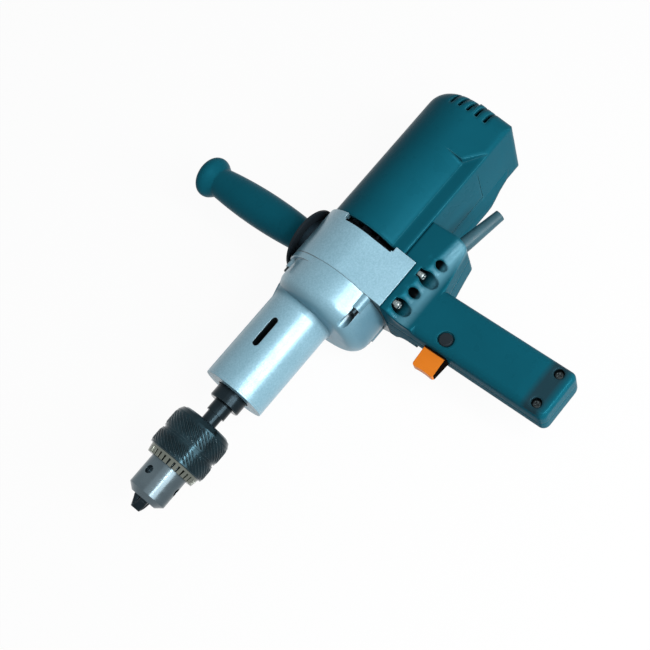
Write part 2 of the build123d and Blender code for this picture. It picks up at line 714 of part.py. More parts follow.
def make_fan():
    rear = FAN_FRONT_X - FAN_WIDTH
    fan = ring_x(FAN_HUB_RADIUS, ARMATURE_SHAFT_RADIUS, rear, FAN_FRONT_X, MOTOR_Y)
    fan += ring_x(FAN_RADIUS, ARMATURE_SHAFT_RADIUS, FAN_FRONT_X - FAN_DISC, FAN_FRONT_X, MOTOR_Y)
    for index in range(FAN_BLADES):
        blade = block(
            rear,
            FAN_FRONT_X,
            MOTOR_Y + FAN_HUB_RADIUS - OVER,
            MOTOR_Y + FAN_RADIUS - OVER,
            -FAN_BLADE_THICKNESS / 2,
            FAN_BLADE_THICKNESS / 2,
        )
        fan += about_x(blade, index * 360 / FAN_BLADES, MOTOR_Y)
    return fan


def brush_box(half_width, half_height, near, far):
    """A box beside the commutator, and its twin across the shaft."""
    x = COMMUTATOR_FRONT_X - COMMUTATOR_LENGTH / 2
    solid = block(x - half_width, x + half_width, MOTOR_Y + near, MOTOR_Y + far, -half_height, half_height)
    return solid + about_x(solid, 180, MOTOR_Y)


def holder_reach():
    return math.sqrt(MOTOR_BORE**2 - (BRUSH_HEIGHT / 2 + HOLDER_WALL) ** 2) - SEAT


def make_brush_holders():
    half_width = BRUSH_WIDTH / 2 + BRUSH_GAP / 2
    half_height = BRUSH_HEIGHT / 2 + BRUSH_GAP / 2
    outer_height = BRUSH_HEIGHT / 2 + HOLDER_WALL
    tube = brush_box(half_width + HOLDER_WALL, outer_height, HOLDER_INNER, holder_reach())
    return tube - brush_box(half_width, half_height, HOLDER_INNER - OVER, holder_reach() - HOLDER_WALL)


def make_carbon_brushes():
    near = COMMUTATOR_RADIUS + RUN
    return brush_box(BRUSH_WIDTH / 2, BRUSH_HEIGHT / 2, near, near + BRUSH_LENGTH)


def make_brush_springs():
    x = COMMUTATOR_FRONT_X - COMMUTATOR_LENGTH / 2
    near = COMMUTATOR_RADIUS + RUN + BRUSH_LENGTH
    spring = cyl_y(BRUSH_SPRING_RADIUS, MOTOR_Y + near, MOTOR_Y + holder_reach() - HOLDER_WALL, x)
    return spring + about_x(spring, 180, MOTOR_Y)


# Layshaft
def make_layshaft():
    rear = WEB_FRONT_X - LAY_BEARING_WIDTH + SLIDE
    front = CHAMBER_FRONT_X + LAY_BEARING_WIDTH - SLIDE
    return cyl_x(LAY_RADIUS - RUN, rear, front, LAY_Y)


def make_layshaft_wheel():
    half_pitch = 180 / LAYSHAFT_TEETH
    wheel = gear(
        FIRST_MODULE,
        LAYSHAFT_TEETH,
        -FIRST_SHIFT,
        180 + half_pitch,
        PINION_FRONT_X - PINION_LENGTH / 2 - WHEEL_LENGTH / 2,
        WHEEL_LENGTH,
        LAY_Y,
    )
    return wheel - cyl_x(LAY_RADIUS - RUN, WEB_FRONT_X, PLATE_REAR_X, LAY_Y)


def make_layshaft_pinion():
    pinion = gear(
        SECOND_MODULE, LAY_PINION_TEETH, SECOND_SHIFT, 180, LAY_PINION_REAR_X, LAY_PINION_LENGTH, LAY_Y
    )
    return pinion - cyl_x(LAY_RADIUS - RUN, SEAM_X - CASE_WALL, CHAMBER_FRONT_X, LAY_Y)


# Spindle
def make_spindle():
    wheel_front = SPINDLE_WHEEL_REAR_X + SPINDLE_WHEEL_LENGTH
    spindle = cyl_x(SPINDLE_RADIUS - RUN, wheel_front, SPINDLE_FACE_X)
    spindle = chamfer(spindle.edges().sort_by(Axis.X)[-1], SPINDLE_CHAMFER)
    spindle += cyl_x(WHEEL_SEAT_RADIUS, SPINDLE_WHEEL_REAR_X, wheel_front)
    spindle += cyl_x(JOURNAL_RADIUS - RUN, PLATE_REAR_X, SPINDLE_WHEEL_REAR_X)
    spindle -= turned(
        [
            (SLOT_REAR_X, 0),
            (SLOT_REAR_X, SOCKET_END_RADIUS),
            (SOCKET_END_X, SOCKET_END_RADIUS),
            (SPINDLE_FACE_X, SOCKET_MOUTH_RADIUS),
            (SPINDLE_FACE_X + OVER, SOCKET_MOUTH_RADIUS),
            (SPINDLE_FACE_X + OVER, 0),
        ]
    )
    return spindle - drift_slot(SLOT_WIDTH)


def make_spindle_wheel():
    half_pitch = 180 / SPINDLE_TEETH
    wheel = gear(
        SECOND_MODULE,
        SPINDLE_TEETH,
        -SECOND_SHIFT,
        half_pitch,
        SPINDLE_WHEEL_REAR_X,
        SPINDLE_WHEEL_LENGTH,
        0,
    )
    return wheel - cyl_x(WHEEL_SEAT_RADIUS, SEAM_X - CASE_WALL, CHAMBER_FRONT_X)


def make_chuck_arbor():
    arbor = turned(
        [
            (SOCKET_END_X, 0),
            (SOCKET_END_X, SOCKET_END_RADIUS),
            (SPINDLE_FACE_X, SOCKET_MOUTH_RADIUS),
            (SPINDLE_FACE_X, NECK_RADIUS),
            (NECK_STEP_X, NECK_RADIUS),
            (NECK_STEP_X, NECK_SMALL_RADIUS),
            (CHUCK_REAR_X, NECK_SMALL_RADIUS),
            (ARBOR_TIP_X, ARBOR_TIP_RADIUS),
            (ARBOR_TIP_X, 0),
        ]
    )
    half = TANG_THICKNESS / 2
    tang = block(TANG_END_X, SOCKET_END_X + OVER, -half, half, -SOCKET_END_RADIUS, SOCKET_END_RADIUS)
    return arbor + (tang & cyl_x(SOCKET_END_RADIUS - SEAT, TANG_END_X, SOCKET_END_X + OVER))


# Keyed chuck
def jaw_line(index):
    """Places a solid drawn along +X with its tip at zero on the slanted line of one jaw."""
    angle = KEY_HOLE_TURN + 180 / JAW_COUNT + index * 360 / JAW_COUNT
    return Rot(angle, 0, 0) * Pos(JAW_TIP_X, 0, JAW_TIP_OFFSET) * Rot(0, JAW_ANGLE, 0)


def make_jaw(index):
    """Round jaw ground to a third of a circle where the three meet, with its tip turned to a cone."""
    angle = KEY_HOLE_TURN + 180 / JAW_COUNT + index * 360 / JAW_COUNT
    jaw = jaw_line(index) * cyl_x(JAW_RADIUS, -JAW_LENGTH, JAW_RADIUS)
    reach = CHUCK_BODY_RADIUS
    spread = reach * math.tan(math.radians(180 / JAW_COUNT))
    third = Polygon((0, 0), (spread, reach), (-spread, reach), align=None)
    gap = JAW_FACE_GAP / math.sin(math.radians(180 / JAW_COUNT))
    jaw &= Rot(angle, 0, 0) * prism_x(Pos(0, gap) * third, 0, JAW_TIP_X + reach)
    nose = turned(
        [
            (0, 0),
            (0, CHUCK_BODY_RADIUS),
            (JAW_BEVEL_X, CHUCK_BODY_RADIUS),
            (JAW_BEVEL_X, JAW_BEVEL_RADIUS),
            (JAW_TIP_X, JAW_TIP_RADIUS),
            (JAW_TIP_X, 0),
        ]
    )
    return jaw & nose


def make_chuck_body():
    nut_front = RING_FRONT_X - RING_LIP + SLIDE
    body = turned(
        [
            (CHUCK_REAR_X, NECK_SMALL_RADIUS),
            (CHUCK_REAR_X, CHUCK_BODY_RADIUS - CHUCK_REAR_CHAMFER),
            (CHUCK_REAR_X + CHUCK_REAR_CHAMFER, CHUCK_BODY_RADIUS),
            (NUT_REAR_X - SLIDE, CHUCK_BODY_RADIUS),
            (NUT_REAR_X - SLIDE, NUT_FLOOR_RADIUS),
            (nut_front, NUT_FLOOR_RADIUS),
            (nut_front, CHUCK_NOSE_RADIUS),
            (CHUCK_CHAMFER_X, CHUCK_NOSE_RADIUS),
            (CHUCK_FRONT_X, CHUCK_FRONT_RADIUS),
            (CHUCK_FRONT_X, CHUCK_BORE_RADIUS),
            (ARBOR_TIP_X, CHUCK_BORE_RADIUS),
            (ARBOR_TIP_X, ARBOR_TIP_RADIUS),
        ]
    )
    for index in range(JAW_COUNT):
        body -= jaw_line(index) * cyl_x(JAW_RADIUS + SLIDE, -JAW_LENGTH - JAW_TRAVEL - OVER, JAW_LENGTH)
        floor = CHUCK_NOSE_RADIUS - KEY_HOLE_DEPTH
        hole = cyl_z(KEY_HOLE_RADIUS, floor, CHUCK_BODY_RADIUS, KEY_HOLE_X)
        body -= Rot(KEY_HOLE_TURN + index * 360 / JAW_COUNT, 0, 0) * hole
    return body


def make_chuck_sleeve():
    lip_x = RING_FRONT_X - RING_LIP
    groove_end = SLEEVE_GROOVE_X + SLEEVE_GROOVE_WIDTH
    sleeve = turned(
        [
            (SLEEVE_REAR_X, CHUCK_BODY_RADIUS + SLIDE),
            (SLEEVE_REAR_X, CHUCK_BODY_RADIUS + SLEEVE_REAR_EDGE),
            (SLEEVE_REAR_X + SLEEVE_REAR_CHAMFER, SLEEVE_RADIUS),
            (SLEEVE_GROOVE_X, SLEEVE_RADIUS),
            (SLEEVE_GROOVE_X, SLEEVE_RADIUS - SLEEVE_GROOVE_DEPTH),
            (groove_end, SLEEVE_RADIUS - SLEEVE_GROOVE_DEPTH),
            (groove_end, SLEEVE_RADIUS),
            (SLEEVE_FRONT_X, SLEEVE_RADIUS),
            (SLEEVE_FRONT_X, RING_RADIUS),
            (RING_FRONT_X, RING_RADIUS - RING_TOOTH_DEPTH / 2),
            (RING_FRONT_X, CHUCK_NOSE_RADIUS + SLIDE),
            (lip_x, CHUCK_NOSE_RADIUS + SLIDE),
            (lip_x, NUT_NOSE_RADIUS),
            (NUT_STEP_X, NUT_NOSE_RADIUS),
            (NUT_STEP_X, CHUCK_BODY_RADIUS + SLIDE),
        ]
    )
    half = math.radians(RING_GAP_ANGLE / 2)
    outer = RING_RADIUS + OVER
    inner = RING_RADIUS - RING_TOOTH_DEPTH
    wedge = Polygon(
        (inner, 0),
        (outer * math.cos(half), outer * math.sin(half)),
        (outer * math.cos(half), -outer * math.sin(half)),
        align=None,
    )
    gap = prism_x(wedge, RING_FRONT_X - RING_TOOTH_LENGTH, RING_FRONT_X + OVER)
    for index in range(RING_TEETH):
        sleeve -= about_x(gap, index * 360 / RING_TEETH)
    return sleeve


def make_chuck_nut():
    """Ring pressed into the sleeve, its cone lying along the backs of the jaws."""
    front = RING_FRONT_X - RING_LIP
    slope = math.tan(math.radians(JAW_ANGLE))
    back = JAW_TIP_OFFSET + (JAW_RADIUS + SLIDE) / math.cos(math.radians(JAW_ANGLE))
    radius_at_front = back + (JAW_TIP_X - front) * slope
    radius_at_rear = back + (JAW_TIP_X - NUT_REAR_X) * slope
    outer = CHUCK_BODY_RADIUS + SLIDE
    return turned(
        [
            (NUT_REAR_X, radius_at_rear),
            (NUT_REAR_X, outer),
            (NUT_STEP_X, outer),
            (NUT_STEP_X, NUT_NOSE_RADIUS),
            (front, NUT_NOSE_RADIUS),
            (front, radius_at_front),
        ]
    )


# Switch handle
def grip_middle_x():
    return BLOCK_FRONT_X - GRIP_WIDTH / 2


def handle_block(inset):
    """Root block between the castings and the grip; inset shrinks it for the hollow inside."""
    rear = BLOCK_REAR_X + inset
    front = BLOCK_FRONT_X - inset
    end = BLOCK_END_Y - inset
    wall = WALL_Y + inset + SEAT
    pad = PAD_Y + 2 * inset + SEAT
    step = JOINT_X + inset
    plan = Polygon(
        (rear, wall),
        (step, wall),
        (step, pad),
        (front, pad),
        (front, end),
        (BLOCK_FRONT_X - GRIP_WIDTH, end),
        (rear, BLOCK_REAR_Y - inset),
        align=None,
    )
    plan = fillet(plan.vertices().group_by(Axis.X)[0].sort_by(Axis.Y)[-1], BLOCK_ROUND)
    tall = extrude(plan, BLOCK_ROOT_HEIGHT, both=True)
    margin = BLOCK_ROOT_HEIGHT
    side = Polygon(
        (WALL_Y - margin, BLOCK_ROOT_HEIGHT),
        (BLOCK_TOP_Y, BLOCK_ROOT_HEIGHT),
        (BLOCK_FOOT_Y, GRIP_HALF_HEIGHT),
        (BLOCK_END_Y + margin, GRIP_HALF_HEIGHT),
        (BLOCK_END_Y + margin, -GRIP_HALF_HEIGHT),
        (BLOCK_FOOT_Y, -GRIP_HALF_HEIGHT),
        (BLOCK_TOP_Y, -BLOCK_ROOT_HEIGHT),
        (WALL_Y - margin, -BLOCK_ROOT_HEIGHT),
        align=None,
    )
    side = fillet(side.vertices().sort_by(Axis.X)[4:6], BLOCK_FOOT_ROUND)
    side = fillet(side.vertices().sort_by(Axis.X)[2:4], BLOCK_TOP_ROUND)
    if inset:
        side = offset(side, -inset)
    bar = prism_x(side, BLOCK_REAR_X - margin, BLOCK_FRONT_X + margin)
    middle = Pos(grip_middle_x(), BLOCK_TOP_Y, 0)
    return tall & (middle * Rot(0, 0, -BLOCK_SLANT) * middle.inverse() * bar)


def handle_grip(inset):
    """Rounded bar that the hand closes round, a little lower towards its end."""
    height = GRIP_HALF_HEIGHT - inset
    end_height = GRIP_END_HEIGHT - inset
    section = RectangleRounded(GRIP_WIDTH - 2 * inset, 2 * height, GRIP_ROUND - inset)
    base = Plane.XZ.offset(-BLOCK_TOP_Y) * Pos(grip_middle_x(), 0) * section
    grip = extrude(base, GRIP_END_Y - inset - BLOCK_TOP_Y, dir=(0, 1, 0))
    grip = fillet(grip.faces().sort_by(Axis.Y)[-1].edges(), GRIP_END_ROUND - inset / 2)
    side = Polygon(
        (BLOCK_TOP_Y, height),
        (GRIP_FALL_Y, height),
        (GRIP_END_Y, end_height),
        (GRIP_END_Y, -end_height),
        (GRIP_FALL_Y, -height),
        (BLOCK_TOP_Y, -height),
        align=None,
    )
    return grip & prism_x(side, BLOCK_FRONT_X - GRIP_WIDTH, BLOCK_FRONT_X)


def pocket(x, z, radius, end_y):
    """Screw pocket from the flange to a round end that keeps with the slanted slope of the block."""
    slant = math.tan(math.radians(BLOCK_SLANT))
    centre_y = end_y - radius + (grip_middle_x() - x) * slant
    return cyl_y(radius, PAD_Y + FLANGE_WALL, centre_y, x, z) + Pos(x, centre_y, z) * Sphere(radius)


def mount_screw_xs():
    return [FIRST_HOLE_X + index * HOLE_PITCH for index in range(1, HOLE_COUNT, 2)]


def end_screw_xs():
    return [grip_middle_x() - END_SCREW_SPREAD, grip_middle_x() + END_SCREW_SPREAD]


def guard_line():
    """Places a solid drawn along +X on the line of the cord guard."""
    return Pos(GUARD_ROOT_X, GUARD_ROOT_Y, 0) * Rot(0, 0, GUARD_TURN)


def clamp_places():
    return [(CLAMP_X, GUARD_ROOT_Y - CLAMP_SPREAD), (CLAMP_X, GUARD_ROOT_Y + CLAMP_SPREAD)]


def make_handle_shells():
    """Upper and lower moulding, parted on the plane of the two handles."""
    outer = handle_block(0) + handle_grip(0)
    inner = handle_block(SHELL_WALL) + handle_grip(SHELL_WALL)
    bosses = Part()
    for x in end_screw_xs():
        bosses += cyl_z(END_BOSS_RADIUS, -GRIP_HALF_HEIGHT, GRIP_HALF_HEIGHT, x, END_SCREW_Y)
    posts = Part()
    for x, y in clamp_places():
        posts += cyl_z(CLAMP_POST_RADIUS, -BLOCK_ROOT_HEIGHT, GUARD_BORE, x, y)
    pockets = Part()
    seats = Part()
    flange_y = PAD_Y + FLANGE_WALL
    for index in range(HOLE_COUNT):
        x = FIRST_HOLE_X + index * HOLE_PITCH
        radius = SCREW_POCKET_RADIUS if index % 2 else DEEP_POCKET_RADIUS
        end_y = SCREW_POCKET_END_Y if index % 2 else DEEP_POCKET_END_Y
        for side in (1, -1):
            pockets += pocket(x, side * HOLE_Z, radius, end_y)
            seats += pocket(x, side * HOLE_Z, radius + SHELL_WALL / 2, end_y + SHELL_WALL / 2)
    shell = outer - (inner - (bosses & outer) - (posts & outer) - (seats & outer))
    shell -= pockets
    for x in mount_screw_xs():
        for side in (1, -1):
            shell -= cyl_y(SCREW_RADIUS + SEAT, WALL_Y, flange_y + OVER, x, side * HOLE_Z)
    trigger_half = TRIGGER_WIDTH / 2 + SLIDE
    trigger_height = TRIGGER_HALF_HEIGHT + SLIDE
    shell -= block(
        BLOCK_FRONT_X - GRIP_ROUND,
        BLOCK_FRONT_X + OVER,
        TRIGGER_Y - trigger_half,
        TRIGGER_Y + trigger_half,
        -trigger_height,
        trigger_height,
    )
    shell -= cyl_z(LOCK_RADIUS + SLIDE, 0, GRIP_HALF_HEIGHT + OVER, LOCK_X, LOCK_Y)
    rim_z = GRIP_HALF_HEIGHT - LOCK_RIM_DEPTH
    shell -= cyl_z(LOCK_RIM_RADIUS, rim_z, GRIP_HALF_HEIGHT + OVER, LOCK_X, LOCK_Y)
    shell -= guard_line() * cyl_x(GUARD_ROOT_RADIUS + SEAT, 0, GUARD_LENGTH)
    for x in end_screw_xs():
        seat_z = GRIP_HALF_HEIGHT - END_POCKET_DEPTH
        shell -= cyl_z(SCREW_HEAD_RADIUS + SLIDE, seat_z, GRIP_HALF_HEIGHT + OVER, x, END_SCREW_Y)
        shell -= cyl_z(SCREW_RADIUS + SEAT, seat_z - END_SCREW_LENGTH, seat_z + OVER, x, END_SCREW_Y)
    for x, y in clamp_places():
        shell -= cyl_z(SCREW_RADIUS + SEAT, GUARD_BORE - CLAMP_SPREAD, GUARD_BORE + OVER, x, y)
    half = block(
        BLOCK_REAR_X - OVER,
        BLOCK_FRONT_X + OVER,
        WALL_Y - OVER,
        GRIP_END_Y + OVER,
        0,
        BLOCK_ROOT_HEIGHT + OVER,
    )
    upper = (shell - posts) & half
    lower = (shell - half) + (shell & posts)
    return upper, lower


def make_trigger():
    wall_inside = BLOCK_FRONT_X - SHELL_WALL
    half = TRIGGER_WIDTH / 2
    rear = wall_inside - STOP_DEPTH
    plan = Polygon(
        (rear, -half), (TRIGGER_FACE_X, -half), (TRIGGER_FACE_X, half), (rear, half), align=None
    )
    plan = fillet(plan.vertices().group_by(Axis.X)[-1], TRIGGER_ROUND)
    plan -= Pos(TRIGGER_FACE_X + TRIGGER_DISH_RADIUS - TRIGGER_DISH, 0) * Circle(TRIGGER_DISH_RADIUS)
    body = extrude(Pos(0, TRIGGER_Y) * plan, TRIGGER_HALF_HEIGHT, both=True)
    profile = Polygon(
        (rear, TRIGGER_HALF_HEIGHT),
        (BLOCK_FRONT_X, TRIGGER_HALF_HEIGHT),
        (TRIGGER_FACE_X, TRIGGER_FACE_HEIGHT),
        (TRIGGER_FACE_X, -TRIGGER_FACE_HEIGHT),
        (BLOCK_FRONT_X, -TRIGGER_HALF_HEIGHT),
        (rear, -TRIGGER_HALF_HEIGHT),
        align=None,
    )
    body &= Pos(0, TRIGGER_Y, 0) * extrude(Plane.XZ * profile, TRIGGER_WIDTH, both=True)
    lip = half + STOP_LIP
    return body + block(
        rear,
        wall_inside - SLIDE,
        TRIGGER_Y - lip,
        TRIGGER_Y + lip,
        -TRIGGER_HALF_HEIGHT,
        TRIGGER_HALF_HEIGHT,
    )


def make_switch():
    stop = BLOCK_FRONT_X - SHELL_WALL - STOP_DEPTH - TRIGGER_TRAVEL
    front = min(stop, LOCK_X - LOCK_RIM_RADIUS) - SLIDE
    rear = BLOCK_FRONT_X - GRIP_WIDTH + SHELL_WALL + SWITCH_REAR_GAP
    height = GRIP_HALF_HEIGHT - SHELL_WALL - SEAT
    body = block(rear, front, SWITCH_Y_MIN, SWITCH_Y_MAX, -height, height)
    return chamfer(body.edges().filter_by(Axis.Y), SHELL_WALL)


def make_lock_button():
    roof = GRIP_HALF_HEIGHT - SHELL_WALL
    top = GRIP_HALF_HEIGHT + LOCK_PROUD
    button = cyl_z(LOCK_RADIUS, roof - LOCK_LIP, top, LOCK_X, LOCK_Y)
    button = fillet(button.edges().sort_by(Axis.Z)[-1], LOCK_ROUND)
    lip = cyl_z(LOCK_RIM_RADIUS, roof - LOCK_LIP, roof, LOCK_X, LOCK_Y)
    return button + (lip & handle_grip(SHELL_WALL + SLIDE))


def make_cord_guard():
    guard = turned(
        [
            (-GUARD_FLANGE, GUARD_BORE),
            (-GUARD_FLANGE, GUARD_FLANGE_RADIUS),
            (0, GUARD_FLANGE_RADIUS),
            (0, GUARD_ROOT_RADIUS),
            (GUARD_LENGTH / 4, GUARD_ROOT_RADIUS),
            (GUARD_LENGTH, GUARD_TIP_RADIUS),
            (GUARD_LENGTH, GUARD_BORE),
        ]
    )
    return guard_line() * guard


def make_cord_clamp():
    half = CLAMP_SPREAD + CLAMP_POST_RADIUS
    bar = block(
        CLAMP_X - CLAMP_WIDTH / 2,
        CLAMP_X + CLAMP_WIDTH / 2,
        GUARD_ROOT_Y - half,
        GUARD_ROOT_Y + half,
        GUARD_BORE,
        GUARD_BORE + CLAMP_THICKNESS,
    )
    for x, y in clamp_places():
        bar -= cyl_z(SCREW_RADIUS + SEAT, 0, BLOCK_ROOT_HEIGHT, x, y)
    return bar


def make_clamp_screws():
    screws = Part()
    top = GUARD_BORE + CLAMP_THICKNESS
    for x, y in clamp_places():
        screws += cyl_z(SCREW_RADIUS, GUARD_BORE - CLAMP_SPREAD, top, x, y)
        screws += cyl_z(SCREW_HEAD_RADIUS, top, top + SCREW_HEAD_HEIGHT, x, y)
    return screws


def make_handle_mount_screws():
    screws = Part()
    seat_y = PAD_Y + FLANGE_WALL
    for x in mount_screw_xs():
        for side in (1, -1):
            screws += cyl_y(SCREW_RADIUS, PAD_Y - MOUNT_SCREW_REACH, seat_y, x, side * HOLE_Z)
            screws += cyl_y(SCREW_HEAD_RADIUS, seat_y, seat_y + SCREW_HEAD_HEIGHT, x, side * HOLE_Z)
    return screws


def make_handle_end_screws():
    screws = Part()
    seat_z = GRIP_HALF_HEIGHT - END_POCKET_DEPTH
    for x in end_screw_xs():
        screws += cyl_z(SCREW_RADIUS, seat_z - END_SCREW_LENGTH, seat_z, x, END_SCREW_Y)
        screws += cyl_z(SCREW_HEAD_RADIUS, seat_z, seat_z + SCREW_HEAD_HEIGHT, x, END_SCREW_Y)
    return screws


# Side grip, drawn along X from the boss face and turned to point to -Y
def side_line():
    return Pos(GRIP_X, GRIP_BOSS_Y, 0) * Rot(0, 0, -90)


def make_side_disc():
    disc = turned(
        [
            (0, STUD_RADIUS + SEAT),
            (0, DISC_RADIUS),
            (DISC_EDGE, DISC_RADIUS),
            (DISC_DEPTH, DISC_HUB_RADIUS),
            (DISC_DEPTH, STUD_RADIUS + SEAT),
        ]
    )
    return side_line() * disc


def make_side_grip():
    """Swelling grip with a rounded guard at its end."""
    end = DISC_DEPTH + SIDE_LENGTH
    neck = end - SIDE_END_LENGTH
    middle = DISC_DEPTH + SIDE_BULGE_AT
    swell = Spline(
        (DISC_DEPTH, SIDE_ROOT_RADIUS), (middle, SIDE_BULGE_RADIUS), (neck, SIDE_WAIST_RADIUS)
    )
    flare = Spline(
        (neck, SIDE_WAIST_RADIUS),
        (end - SIDE_END_LENGTH / 2, SIDE_END_RADIUS),
        (end, SIDE_END_RADIUS / 2),
        tangents=((1, 0.4), (0, -1)),
    )
    outline = swell + flare + Polyline(
        (end, SIDE_END_RADIUS / 2), (end, 0), (DISC_DEPTH, 0), (DISC_DEPTH, SIDE_ROOT_RADIUS)
    )
    grip = revolve(make_face(outline), Axis.X)
    return side_line() * (grip - cyl_x(STUD_RADIUS + SEAT, 0, DISC_DEPTH + STUD_IN_GRIP))


def make_side_stud():
    return side_line() * cyl_x(STUD_RADIUS, -STUD_DEPTH, DISC_DEPTH + STUD_IN_GRIP)


def make_nodes():
    """Every separate piece by its node name."""
    upper_shell, lower_shell = make_handle_shells()
    nodes = {
        "front_gear_case": make_front_gear_case(),
        "rear_gear_case": make_rear_gear_case(),
        "bearing_plate": make_bearing_plate(),
        "motor_housing": make_motor_housing(),
        "long_case_screws": make_case_screws(long_screw_places(), LONG_SCREW_REAR_X),
        "short_case_screws": make_case_screws(short_screw_places(), SHORT_SCREW_REAR_X),
        "stator_core": make_stator_core(),
        "field_coils": make_field_coils(),
        "armature_core": make_armature_core(),
        "armature_winding": make_armature_winding(),
        "armature_shaft": make_armature_shaft(),
        "commutator": make_commutator(),
        "cooling_fan": make_fan(),
        "armature_front_bearing": bearing(
            ARMATURE_BEARING_RADIUS, ARMATURE_SHAFT_RADIUS, WEB_REAR_X, ARMATURE_BEARING_WIDTH, MOTOR_Y
        ),
        "armature_rear_bearing": bearing(
            REAR_BEARING_RADIUS,
            REAR_JOURNAL_RADIUS,
            MOTOR_REAR_X + REAR_WALL + BOSS_LENGTH - REAR_BEARING_WIDTH,
            REAR_BEARING_WIDTH,
            MOTOR_Y,
        ),
        "brush_holders": make_brush_holders(),
        "carbon_brushes": make_carbon_brushes(),
        "brush_springs": make_brush_springs(),
        "layshaft": make_layshaft(),
        "layshaft_wheel": make_layshaft_wheel(),
        "layshaft_pinion": make_layshaft_pinion(),
        "layshaft_rear_bush": bearing(
            LAY_BEARING_RADIUS, LAY_RADIUS, WEB_FRONT_X - LAY_BEARING_WIDTH, LAY_BEARING_WIDTH, LAY_Y
        ),
        "layshaft_front_bush": bearing(
            LAY_BEARING_RADIUS, LAY_RADIUS, CHAMBER_FRONT_X, LAY_BEARING_WIDTH, LAY_Y
        ),
        "spindle": make_spindle(),
        "spindle_wheel": make_spindle_wheel(),
        "spindle_rear_bush": ring_x(
            BUSH_RADIUS - SEAT, JOURNAL_RADIUS, PLATE_REAR_X, PLATE_REAR_X + PLATE_THICKNESS
        ),
        "spindle_front_bearing": bearing(
            SPINDLE_BEARING_RADIUS, SPINDLE_RADIUS, -BEARING_SEAT_DEPTH, SPINDLE_BEARING_WIDTH
        ),
        "spindle_seal": ring_x(
            SPINDLE_BEARING_RADIUS - SEAT,
            SPINDLE_RADIUS,
            SPINDLE_BEARING_WIDTH - BEARING_SEAT_DEPTH,
            SPINDLE_BEARING_WIDTH - BEARING_SEAT_DEPTH + SEAL_WIDTH,
        ),
        "chuck_arbor": make_chuck_arbor(),
        "chuck_body": make_chuck_body(),
        "chuck_sleeve": make_chuck_sleeve(),
        "chuck_nut": make_chuck_nut(),
        "upper_handle_shell": upper_shell,
        "lower_handle_shell": lower_shell,
        "handle_mount_screws": make_handle_mount_screws(),
        "handle_end_screws": make_handle_end_screws(),
        "trigger": make_trigger(),
        "trigger_switch": make_switch(),
        "lock_button": make_lock_button(),
        "cord_guard": make_cord_guard(),
        "cord_clamp": make_cord_clamp(),
        "cord_clamp_screws": make_clamp_screws(),
        "side_grip": make_side_grip(),
        "side_grip_disc": make_side_disc(),
        "side_grip_stud": make_side_stud(),
    }
    for index in range(JAW_COUNT):
        nodes[f"chuck_jaw_{index + 1}"] = make_jaw(index)
    return nodes


os.makedirs("parts", exist_ok=True)
for name, solid in make_nodes().items():
    export_step(solid, f"parts/{name}.step")
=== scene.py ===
import logging
import math
from dataclasses import dataclass, replace
from enum import Enum

import bmesh
import bpy
from mathutils import Matrix, Vector


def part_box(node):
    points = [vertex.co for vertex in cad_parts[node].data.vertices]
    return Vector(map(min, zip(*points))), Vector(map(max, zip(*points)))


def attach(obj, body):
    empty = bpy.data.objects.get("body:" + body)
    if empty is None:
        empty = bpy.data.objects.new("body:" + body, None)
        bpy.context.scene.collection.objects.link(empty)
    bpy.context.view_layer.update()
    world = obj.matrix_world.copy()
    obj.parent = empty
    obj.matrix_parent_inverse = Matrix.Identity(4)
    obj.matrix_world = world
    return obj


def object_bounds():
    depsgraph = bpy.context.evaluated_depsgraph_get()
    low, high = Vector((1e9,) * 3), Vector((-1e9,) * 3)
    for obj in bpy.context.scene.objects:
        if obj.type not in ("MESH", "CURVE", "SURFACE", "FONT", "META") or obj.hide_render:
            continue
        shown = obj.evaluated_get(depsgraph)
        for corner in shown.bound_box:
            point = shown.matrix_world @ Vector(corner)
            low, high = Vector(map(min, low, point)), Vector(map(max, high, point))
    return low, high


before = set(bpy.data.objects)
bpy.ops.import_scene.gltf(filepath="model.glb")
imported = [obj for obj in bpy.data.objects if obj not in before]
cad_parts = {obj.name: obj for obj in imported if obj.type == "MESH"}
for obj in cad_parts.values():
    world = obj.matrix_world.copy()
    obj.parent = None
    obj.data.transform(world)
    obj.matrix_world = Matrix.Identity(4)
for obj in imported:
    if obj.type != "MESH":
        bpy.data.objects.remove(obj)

# Looks of a heavy two-handed drill, dressed over its solids, in metres and in the solids' own frame:
# the chuck points to +X, the switch handle to +Y and the side grip to -Y.
LOG = logging.getLogger("drill")
MM = 0.001
CAD_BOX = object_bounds()

Material = bpy.types.Material
Mesh = bpy.types.Mesh
Socket = bpy.types.NodeSocket
Tree = bpy.types.NodeTree
Triple = tuple[float, float, float]

# Points closer than this are one point.
WELD = 0.001 * MM
# Cosines between the flat and the rounded normal where the edge colour starts and is full, and how full it
# gets; the edge colour is wear, and on the motor housing it is also a painted highlight.
WORN_AND_LIT_COSINES = (0.985, 0.85)
WORN_AND_LIT_SHARE = 0.75
# Shares of open sky where the painted shade in corners starts and is full, and how full it gets.
CORNER_SHADE_SKY = (0.68, 0.3)
CORNER_SHADE_SHARE = 0.95
# Middle stretches of two noises, which are spread over their whole range.
FLECK_HEIGHTS = (0.35, 0.65)
SMUDGE_HEIGHTS = (0.3, 0.7)
SMUDGES_PER_MOTTLE = 4
# Rays that find the normals of the edges that take the edge colour and of rounded edges, and the open sky.
EDGE_RAYS = 6
ROUND_RAYS = 8
CORNER_SHADE_RAYS = 8
COAT_ROUGHNESS = 0.2


class Body(Enum):
    """Moving bodies that the dressing pieces ride on."""

    HOUSING = "housing"
    SLEEVE = "sleeve"


class Grain(Enum):
    """How a surface was made, which sets the pattern of its relief."""

    MOULDED = "spark-eroded mould"
    CAST = "lacquered casting"
    TURNED = "turned on a lathe"
    GROUND = "ground and blackened"
    STACKED = "stacked sheets"


class Side(Enum):
    """On which side of its limits a zone lies, as the sign of the way into it."""

    PAST = 1
    SHORT_OF = -1


